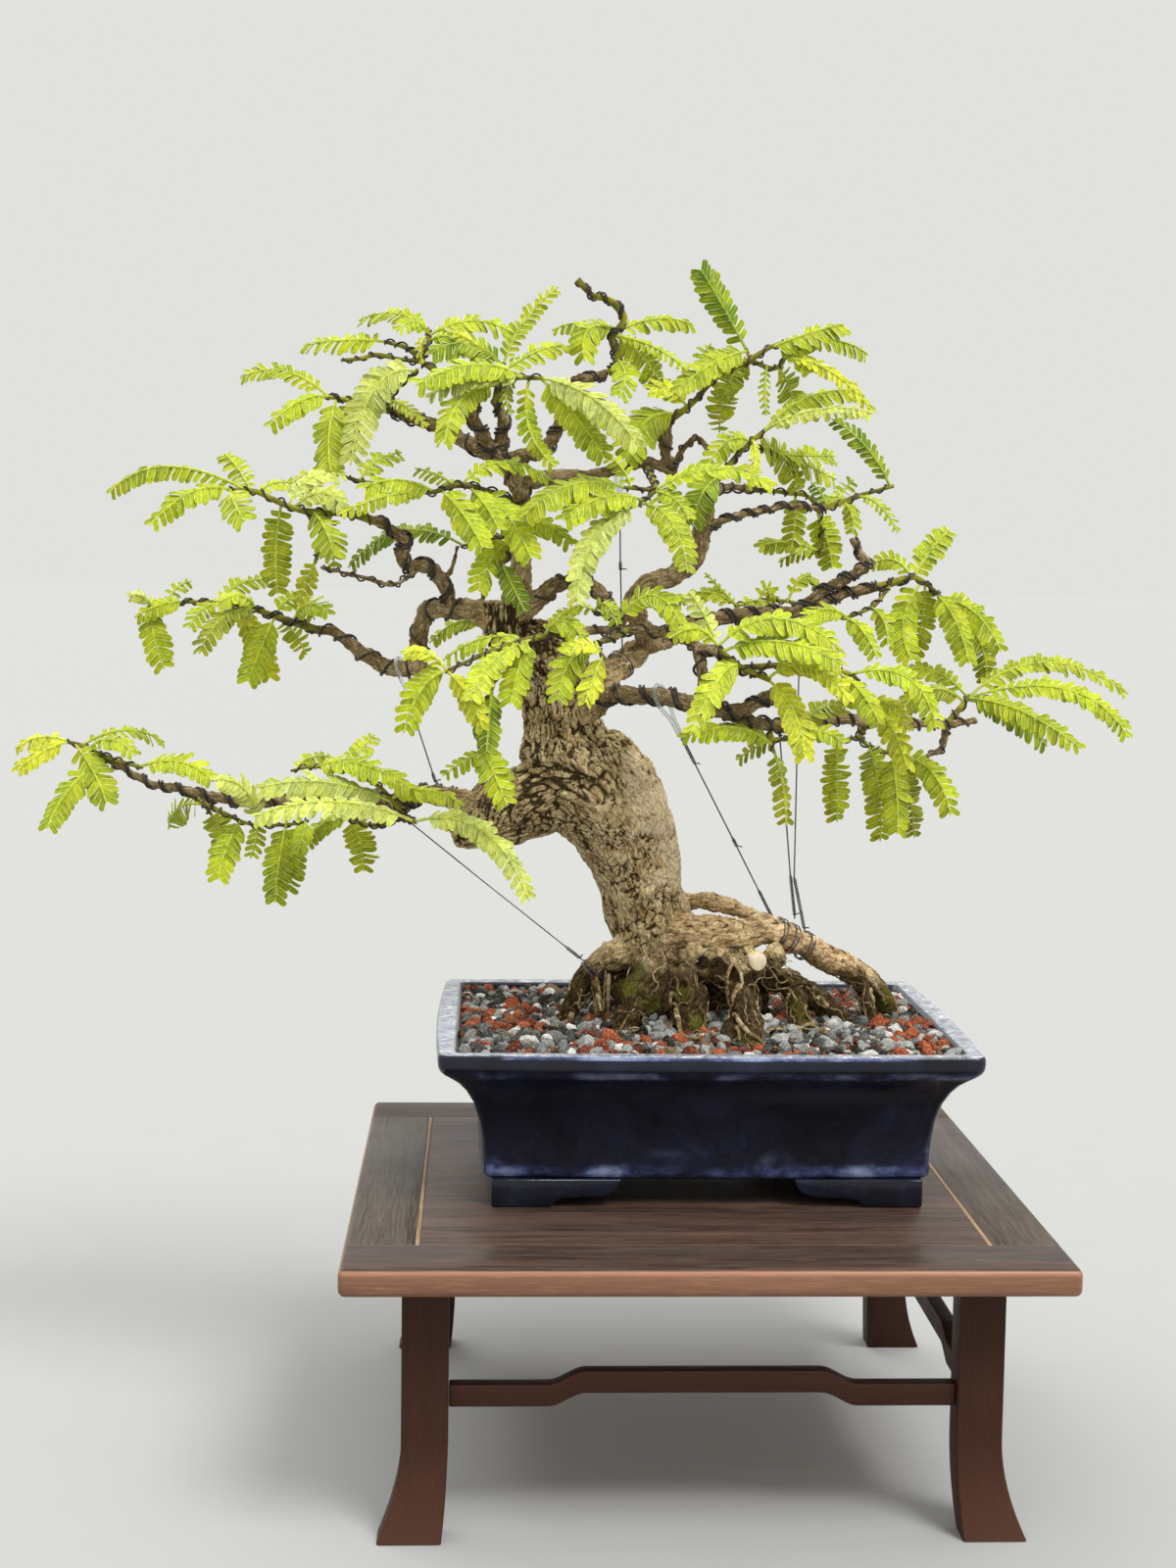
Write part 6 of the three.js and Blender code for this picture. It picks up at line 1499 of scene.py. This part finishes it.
def foot_outline(length):
    low = TOP["z"] + GAP

    def curve(a, b, c, count=5):
        return [((1 - t) ** 2 * a[0] + 2 * t * (1 - t) * b[0] + t * t * c[0],
                 (1 - t) ** 2 * a[1] + 2 * t * (1 - t) * b[1] + t * t * c[1])
                for t in [i / count for i in range(1, count + 1)]]

    flat = FOOT["flat"]
    points = [(0, low), (flat, low)]
    points += curve((flat, low), (flat + 3, low + 4), (flat + 7, low + 4.2))
    points.append((length - 12, low + 4.8))
    points += curve((length - 12, low + 4.8), (length - 3, low + 5), (length, low + 9))
    return points + [(length + 2, POT["base"] + 1), (0, POT["base"] + 1)]


def make_pot(material):
    body = Build()
    rings = []
    for i, (inset, z, corner) in enumerate(POT_OUTSIDE):
        bow = POT["bow"] * min(1, max(0, (21 - i) / 4))
        rings.append([body.point(p) for p in pot_ring(inset, z, corner, bow)])
    body.loft(rings)
    feet = Build()
    for sx in (-1, 1):
        for sy in (-1, 1):
            for length, along_x in ((FOOT["front"], True), (FOOT["side"], False)):
                foot_bracket(feet, foot_outline(length), along_x, sx, sy)
    pot = add("pot_body", body.mesh("pot_body"))
    extra = add("pot_feet", bevel_mesh(feet.mesh("pot_feet"), 0.9, 3, 35))
    drills = add("pot_drills", drain_drills())
    for other, operation in ((extra, "UNION"), (drills, "DIFFERENCE")):
        cut = pot.modifiers.new(operation.lower(), "BOOLEAN")
        cut.solver = "EXACT"
        cut.use_self = True
        cut.operation = operation
        cut.object = other
    mesh = evaluated(pot)
    for item in (pot, extra, drills):
        bpy.data.objects.remove(item)
    set_tones(mesh, [glaze_at((vertex.co - SHIFT) / MM) for vertex in mesh.vertices], "glaze")
    mesh.name = "pot_glazed"
    piece("pot_glazed", mesh, "pot_glaze", material, "pot", angle=40)


def foot_bracket(build, outline, along_x, sx, sy):
    """A prism of the foot's outline from the corner along one side."""
    front, back = [], []
    for a, z in outline:
        for side, depth in ((front, 0), (back, FOOT["width"])):
            x, y = (a, depth) if along_x else (depth, a)
            x, y = sx * (FOOT["half_width"] - x), sy * (FOOT["half_depth"] - y)
            side.append(build.point(Vector((POT["x"] + x, POT["y"] + y, z))))
    build.loft([front, back])


def bevel_mesh(mesh, offset, segments, least_angle):
    bm = bmesh.new()
    bm.from_mesh(mesh)
    bmesh.ops.recalc_face_normals(bm, faces=bm.faces)
    edges = [e for e in bm.edges if len(e.link_faces) == 2 and e.calc_face_angle(0) > math.radians(least_angle)]
    bmesh.ops.bevel(bm, geom=edges, offset=offset * MM, segments=segments, profile=0.5, affect="EDGES",
                    clamp_overlap=True)
    bm.to_mesh(mesh)
    bm.free()
    return mesh


def drain_drills():
    bm = bmesh.new()
    r = DRAIN["radius"] * MM
    for sign in (-1, 1):
        turn = Matrix.Translation(metres((POT["x"] + sign * DRAIN["apart"], POT["y"], 153)))
        bmesh.ops.create_cone(bm, cap_ends=True, segments=40, radius1=r, radius2=r, depth=20 * MM, matrix=turn)
    return finished(bm, "pot_drills")


def hump(value, centre, half):
    return max(0.0, 1 - abs(value - centre) / half)


def glaze_at(p):
    """How thin the glaze is, with painted highlight lines on the top and bottom edges of the lip, how crusted the lip,
    and where the clay is chipped bare.
    """
    dx = POT["width"] / 2 - abs(p.x - POT["x"])
    dy = POT["depth"] / 2 - abs(p.y - POT["y"])
    corner = rise(24 - abs(dx - dy) * 1.5 - min(dx, dy) * 0.4, 0, 20)
    sway = 4 * noise.noise(Vector((p.x, p.y, 0)) * 0.03) + 9 * corner
    thin = 0.07
    if p.z > 150.4 and max(dx, dy) > 26 and min(dx, dy) > 14:
        thin = max(0.66 * rise(162 + sway - p.z, 0, 11), 0.45 * corner * rise(204 - p.z, 0, 50))
        thin = max(thin, 1.25 * hump(p.z, 152.6, 2.4))
    # Painted highlights: bright lines along the bottom and the top edge of the lip, carried as thin glaze.
    thin = max(thin, 0.6 * hump(p.z, 205.5, 3.6) * (dx < 9 or dy < 9))
    thin = max(thin, 1.5 * hump(p.z, 215.4, 1.8) * (dx < 2 or dy < 2))
    lip = rise(p.z, 214.9, 215.7)
    low = 1.0 if (p - Vector((92, -60.5, 138.5))).length < 3.6 else 0.0
    return thin, lip, low * rise(noise.noise(p * 0.5), -0.25, 0.1), 1


# Gravel
def soil_height(x, y):
    mound = math.exp(-(((x - POT["x"]) / SOIL["reach_x"]) ** 2) - ((y - POT["y"]) / SOIL["reach_y"]) ** 2)
    return SOIL["edge"] + SOIL["mound"] * mound


STONES = [
    ((0.23, 0.24, 0.23), 28), ((0.43, 0.44, 0.42), 26), ((0.92, 0.9, 0.84), 10), ((0.085, 0.085, 0.08), 20),
    ((0.22, 0.14, 0.075), 8), ((0.03, 0.025, 0.02), 10),
]

RUST = [((0.42, 0.1, 0.035), 5), ((0.2, 0.042, 0.02), 3)]


def make_gravel(material):
    chance = random.Random(21)
    tree, samples = on_wood(fine_limbs())
    shapes = {}
    for name, cuts in (("gravel_top", 2), ("gravel_fill", 1)):
        ball = bmesh.new()
        bmesh.ops.create_icosphere(ball, subdivisions=cuts, radius=1)
        ball.verts.ensure_lookup_table()
        shapes[name] = [v.co.copy() for v in ball.verts], [tuple(v.index for v in f.verts) for f in ball.faces]
        ball.free()
    half_w, half_d = POT["width"] / 2 - 15.2, POT["depth"] / 2 - 15.2
    for name, pitch, lift in (("gravel_fill", 5.0, -1.4), ("gravel_top", 5.9, 0.7)):
        build = Build()
        corners, sides = shapes[name]
        columns, rows = int(2 * half_w / pitch), int(2 * half_d / pitch)
        for i in range(columns + 1):
            for j in range(rows + 1):
                x = POT["x"] - half_w + 2 * half_w * i / columns + chance.uniform(-0.42, 0.42) * pitch
                y = POT["y"] - half_d + 2 * half_d * j / rows + chance.uniform(-0.42, 0.42) * pitch
                x = min(max(x, POT["x"] - half_w), POT["x"] + half_w)
                y = min(max(y, POT["y"] - half_d), POT["y"] + half_d)
                size = min(max(chance.gauss(3.0, 0.95), 1.5), 5.2)
                place = Vector((x, y, soil_height(x, y) + lift + chance.uniform(-0.8, 1.2)))
                hit = min(tree.find_n(place, 8), key=lambda h: h[2] - samples[h[1]][1])
                if hit[2] - samples[hit[1]][1] < size * 0.4:
                    continue
                if name == "gravel_top" and chance.random() < 0.05:
                    continue
                reds = 0.24 + 0.45 * noise.noise(place * 0.03 + Vector((3, 8, 1)))
                tones = RUST if chance.random() < reds else STONES
                shade = Vector(chance.choices([t for t, _ in tones], [w for _, w in tones])[0])
                shade = shade * chance.uniform(0.75, 1.25)
                scale = Vector((chance.uniform(0.9, 1.3), chance.uniform(0.75, 1.05), chance.uniform(0.6, 0.9))) * size
                turn = Quaternion([chance.gauss(0, 1) for _ in range(4)]).normalized()
                start = Vector([chance.uniform(0, 90) for _ in range(3)])
                first = len(build.points)
                for v in corners:
                    bulge = 1 + 0.5 * noise.noise(v * 1.1 + start)
                    build.point(place + turn @ Vector((v.x * scale.x, v.y * scale.y, v.z * scale.z)) * bulge, shade)
                build.faces += [tuple(first + k for k in face) for face in sides]
        mesh = build.mesh(name)
        set_tones(mesh, build.tones)
        piece(name, mesh, "gravel", material, angle=22)


# Stand
BOARD = {"front": 38, "side": 33}
LEG = {"outer": 140.5, "inner": 118.8, "front": 130, "back": 112.5, "kick": 10.8, "heel": 2.6, "kick_height": 46}
RAIL = {"low": 60.4, "high": 71, "step": 6.4, "thick": 8, "ramp_outer": 72.5, "ramp_inner": 55, "y": 122, "x": 129.6}


def rounded_box(name, low, high, is_round, round_by=3.2, edge=0.35):
    """A board whose chosen edges are well rounded and whose other edges are just eased."""
    bm = bmesh.new()
    bmesh.ops.create_cube(bm, size=1)
    low, high = Vector(low), Vector(high)
    size, middle = high - low, (high + low) / 2
    for v in bm.verts:
        v.co = Vector((v.co.x * size.x, v.co.y * size.y, v.co.z * size.z)) + middle
    strong = [e for e in bm.edges if is_round((e.verts[0].co + e.verts[1].co) / 2)]
    bmesh.ops.bevel(bm, geom=strong, offset=round_by, segments=6, profile=0.5, affect="EDGES")
    sharp = [e for e in bm.edges if e.calc_face_angle(0) > math.radians(50)]
    bmesh.ops.bevel(bm, geom=sharp, offset=edge, segments=2, profile=0.5, affect="EDGES", clamp_overlap=True)
    for v in bm.verts:
        v.co = metres(v.co)
    return finished(bm, name)


def make_stand(boards, posts, inlay):
    w, d, z, t = 168, 160, TOP["z"], TOP["thick"]
    front = d - BOARD["front"]
    side = w - BOARD["side"]
    half = GAP / 2
    for name, sign in (("front", -1), ("back", 1)):
        y0, y1 = sorted((sign * (front + half), sign * d))
        mesh = rounded_box("board_" + name, (-w, y0, z - t), (w, y1, z),
                           lambda m, s=sign: abs(m.x) > w - 1 or s * m.y > d - 1)
        piece("board_" + name, mesh, "rosewood", boards["X"], "stand_board_" + name)
    for name, sign in (("left", -1), ("right", 1)):
        x0, x1 = sorted((sign * side, sign * w))
        mesh = rounded_box("board_" + name, (x0, -front + half, z - t), (x1, front - half, z),
                           lambda m, s=sign: s * m.x > w - 1 and abs(m.y) < front - 1)
        piece("board_" + name, mesh, "rosewood", boards["Y"], "stand_board_" + name)
        x0, x1 = sorted((sign * (side - GAP), sign * (side - GAP - 1.8)))
        low = x0, -front + half, z - 2.7
        mesh = rounded_box("inlay_" + name, low, (x1, front - half, z), lambda m: False, edge=0.2)
        piece("inlay_" + name, mesh, "inlay_wood", inlay, "stand_inlay_" + name)
    edge = side - GAP - 1.8 - GAP
    mesh = rounded_box("panel", (-edge, -front + half, z - t), (edge, front - half, z), lambda m: False, edge=0.3)
    piece("panel", mesh, "rosewood", boards["X"], "stand_panel")
    for fore, sy in (("front", -1), ("back", 1)):
        for name, sx in (("left", -1), ("right", 1)):
            piece(f"leg_{fore}_{name}", leg_mesh(sx, sy), "rosewood", posts["Z"], f"stand_leg_{fore}_{name}")
        piece("rail_" + fore, rail_mesh(118.8 - GAP, sy, True), "rosewood", posts["X"], "stand_stretcher_" + fore)
    for name, sx in (("left", -1), ("right", 1)):
        piece("rail_" + name, rail_mesh(112.5 - GAP, sx, False), "rosewood", posts["Y"], "stand_stretcher_" + name)


def leg_mesh(sx, sy):
    build = Build()
    top = TOP["z"] - TOP["thick"] - GAP
    heights = [0, 0.35, 1.2] + [3 + 43 * i / 18 for i in range(19)] + [60, 80, 100, top - 0.4, top]
    rings = []
    for z in heights:
        bend = max(0, (LEG["kick_height"] - z) / LEG["kick_height"]) ** 2
        x0, x1 = LEG["inner"] + LEG["heel"] * bend, LEG["outer"] + LEG["kick"] * bend
        y0, y1 = LEG["back"] + LEG["kick"] * 0.9 * bend, LEG["front"] + LEG["kick"] * 0.9 * bend
        ease = 0.5 if z in (0, top) else 0
        ring = []
        for cx, cy, start, r in ((x1, y1, 0, 1.5), (x0, y1, 90, 1.2), (x0, y0, 180, 0.8), (x1, y0, 270, 1.2)):
            mx, my = cx - (r if cx == x1 else -r), cy - (r if cy == y1 else -r)
            for j in range(5):
                a = math.radians(start + 90 * j / 4)
                x, y = mx + (r - ease) * math.cos(a), my + (r - ease) * math.sin(a)
                ring.append(build.point(Vector((sx * x, sy * y, z))))
        rings.append(ring if sx * sy > 0 else ring[::-1])
    build.loft(rings)
    return build.mesh("leg")


def rail_mesh(half, sign, along_x):
    """A rail whose middle steps up, with a soft double curve at both ends of the step."""
    a, b = RAIL["ramp_outer"], RAIL["ramp_inner"]
    ramp = [(a + (b - a) * i / 10, rise(i / 10, 0, 1)) for i in range(11)]
    marks = [(-half, 0)] + [(-x, up) for x, up in ramp] + [(x, up) for x, up in reversed(ramp)] + [(half, 0)]
    outline = [(x, RAIL["low"] + RAIL["step"] * up) for x, up in marks]
    outline += [(x, RAIL["high"] + RAIL["step"] * up) for x, up in reversed(marks)]
    build = Build()
    rows = []
    for depth in (-RAIL["thick"] / 2, RAIL["thick"] / 2):
        if along_x:
            rows.append([build.point(Vector((x, sign * RAIL["y"] + depth, z))) for x, z in outline])
        else:
            rows.append([build.point(Vector((sign * RAIL["x"] + depth, x, z))) for x, z in outline])
    build.loft(rows)
    return bevel_mesh(build.mesh("rail"), 0.8, 3, 60)


# Stage
def make_stage():
    bm = bmesh.new()
    bmesh.ops.create_grid(bm, x_segments=2, y_segments=2, size=200)
    mesh = finished(bm, "floor")
    mesh.materials.append(stage_material())
    add("floor", mesh)
    make_sky()
    for name, towards, power, spread in (("key", (0.5, -0.55, 1), 2.3, 24), ("back", (-0.5, 0.7, 0.9), 0.7, 40)):
        data = bpy.data.lights.new(name, "SUN")
        data.energy = power
        data.angle = math.radians(spread)
        add(name, data).rotation_euler = Vector(towards).to_track_quat("Z", "Y").to_euler()
    bpy.context.scene.view_settings.view_transform = "Standard"


def make_sky():
    """A soft pale studio: even all round at eye level, brighter overhead."""
    world = bpy.data.worlds.new("studio")
    bpy.context.scene.world = world
    world.use_nodes = True
    tree = world.node_tree
    background = tree.nodes["Background"]
    background.inputs["Color"].default_value = (0.992, 1.0, 0.965, 1)
    split = tree.nodes.new("ShaderNodeSeparateXYZ")
    rise = tree.nodes.new("ShaderNodeMapRange")
    rise.interpolation_type = "SMOOTHSTEP"
    for key, value in (("From Min", 0.34), ("From Max", 0.9), ("To Min", 0.757), ("To Max", 1.4)):
        rise.inputs[key].default_value = value
    tree.links.new(tree.nodes.new("ShaderNodeTexCoord").outputs["Generated"], split.inputs["Vector"])
    tree.links.new(split.outputs["Z"], rise.inputs["Value"])
    tree.links.new(rise.outputs["Result"], background.inputs["Strength"])


TOP_TONES = (0.013, 0.006, 0.0045), (0.058, 0.028, 0.019), (0.17, 0.09, 0.06), (0.066, 0.047, 0.037)
SIDE_TONES = (0.02, 0.013, 0.009), (0.07, 0.046, 0.032), (0.15, 0.105, 0.078), (0.078, 0.066, 0.052)
# Painted shade: the leg tones, used by the rails too, are made darker for the shadow under the top.
SHADED_LEG_TONES = (0.008, 0.003, 0.002), (0.021, 0.0085, 0.0058), (0.031, 0.0135, 0.0092), (0.03, 0.017, 0.012)
INLAY_TONES = (0.18, 0.105, 0.06), (0.3, 0.19, 0.115), (0.4, 0.28, 0.18), (0.33, 0.23, 0.15)
SAWN_TONES = (0.3, 0.17, 0.06), (0.7, 0.5, 0.2), (0.9, 0.74, 0.4), (0.85, 0.68, 0.34)
boards = {
    "X": wood_material("rosewood_top", "X", *TOP_TONES, 0.3),
    "Y": wood_material("rosewood_side", "Y", *SIDE_TONES, 0.3),
}
posts = {axis: wood_material("leg_wood_" + axis.lower(), axis, *SHADED_LEG_TONES, 0.05) for axis in "XYZ"}
bark = bark_material()
make_stage()
make_stand(boards, posts, wood_material("inlay_wood", "Y", *INLAY_TONES, 0.1))
make_pot(glaze_material())
make_gravel(grain_material())
make_wood(bark)
make_rootlets(bark)
make_sawn_root(wood_material("sawn_wood", "Z", *SAWN_TONES, 0.0))
make_sprays(leaf_material())
make_wires(wire_material("training_wire", (0.014, 0.011, 0.009), (0.085, 0.064, 0.048), 0.45, 0.3))
make_guys(wire_material("guy_wire", (0.05, 0.05, 0.05), (0.2, 0.2, 0.19), 0.4, 0.7), clear_material())

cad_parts["soil"].data.materials.clear()
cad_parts["soil"].data.materials.append(soil_material())
net = wire_material("screen_net", (0.03, 0.03, 0.03), (0.08, 0.08, 0.08), 0.6, 0.0)
for side in ("left", "right"):
    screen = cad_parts["drain_screen_" + side]
    screen.data.materials.clear()
    screen.data.materials.append(net)
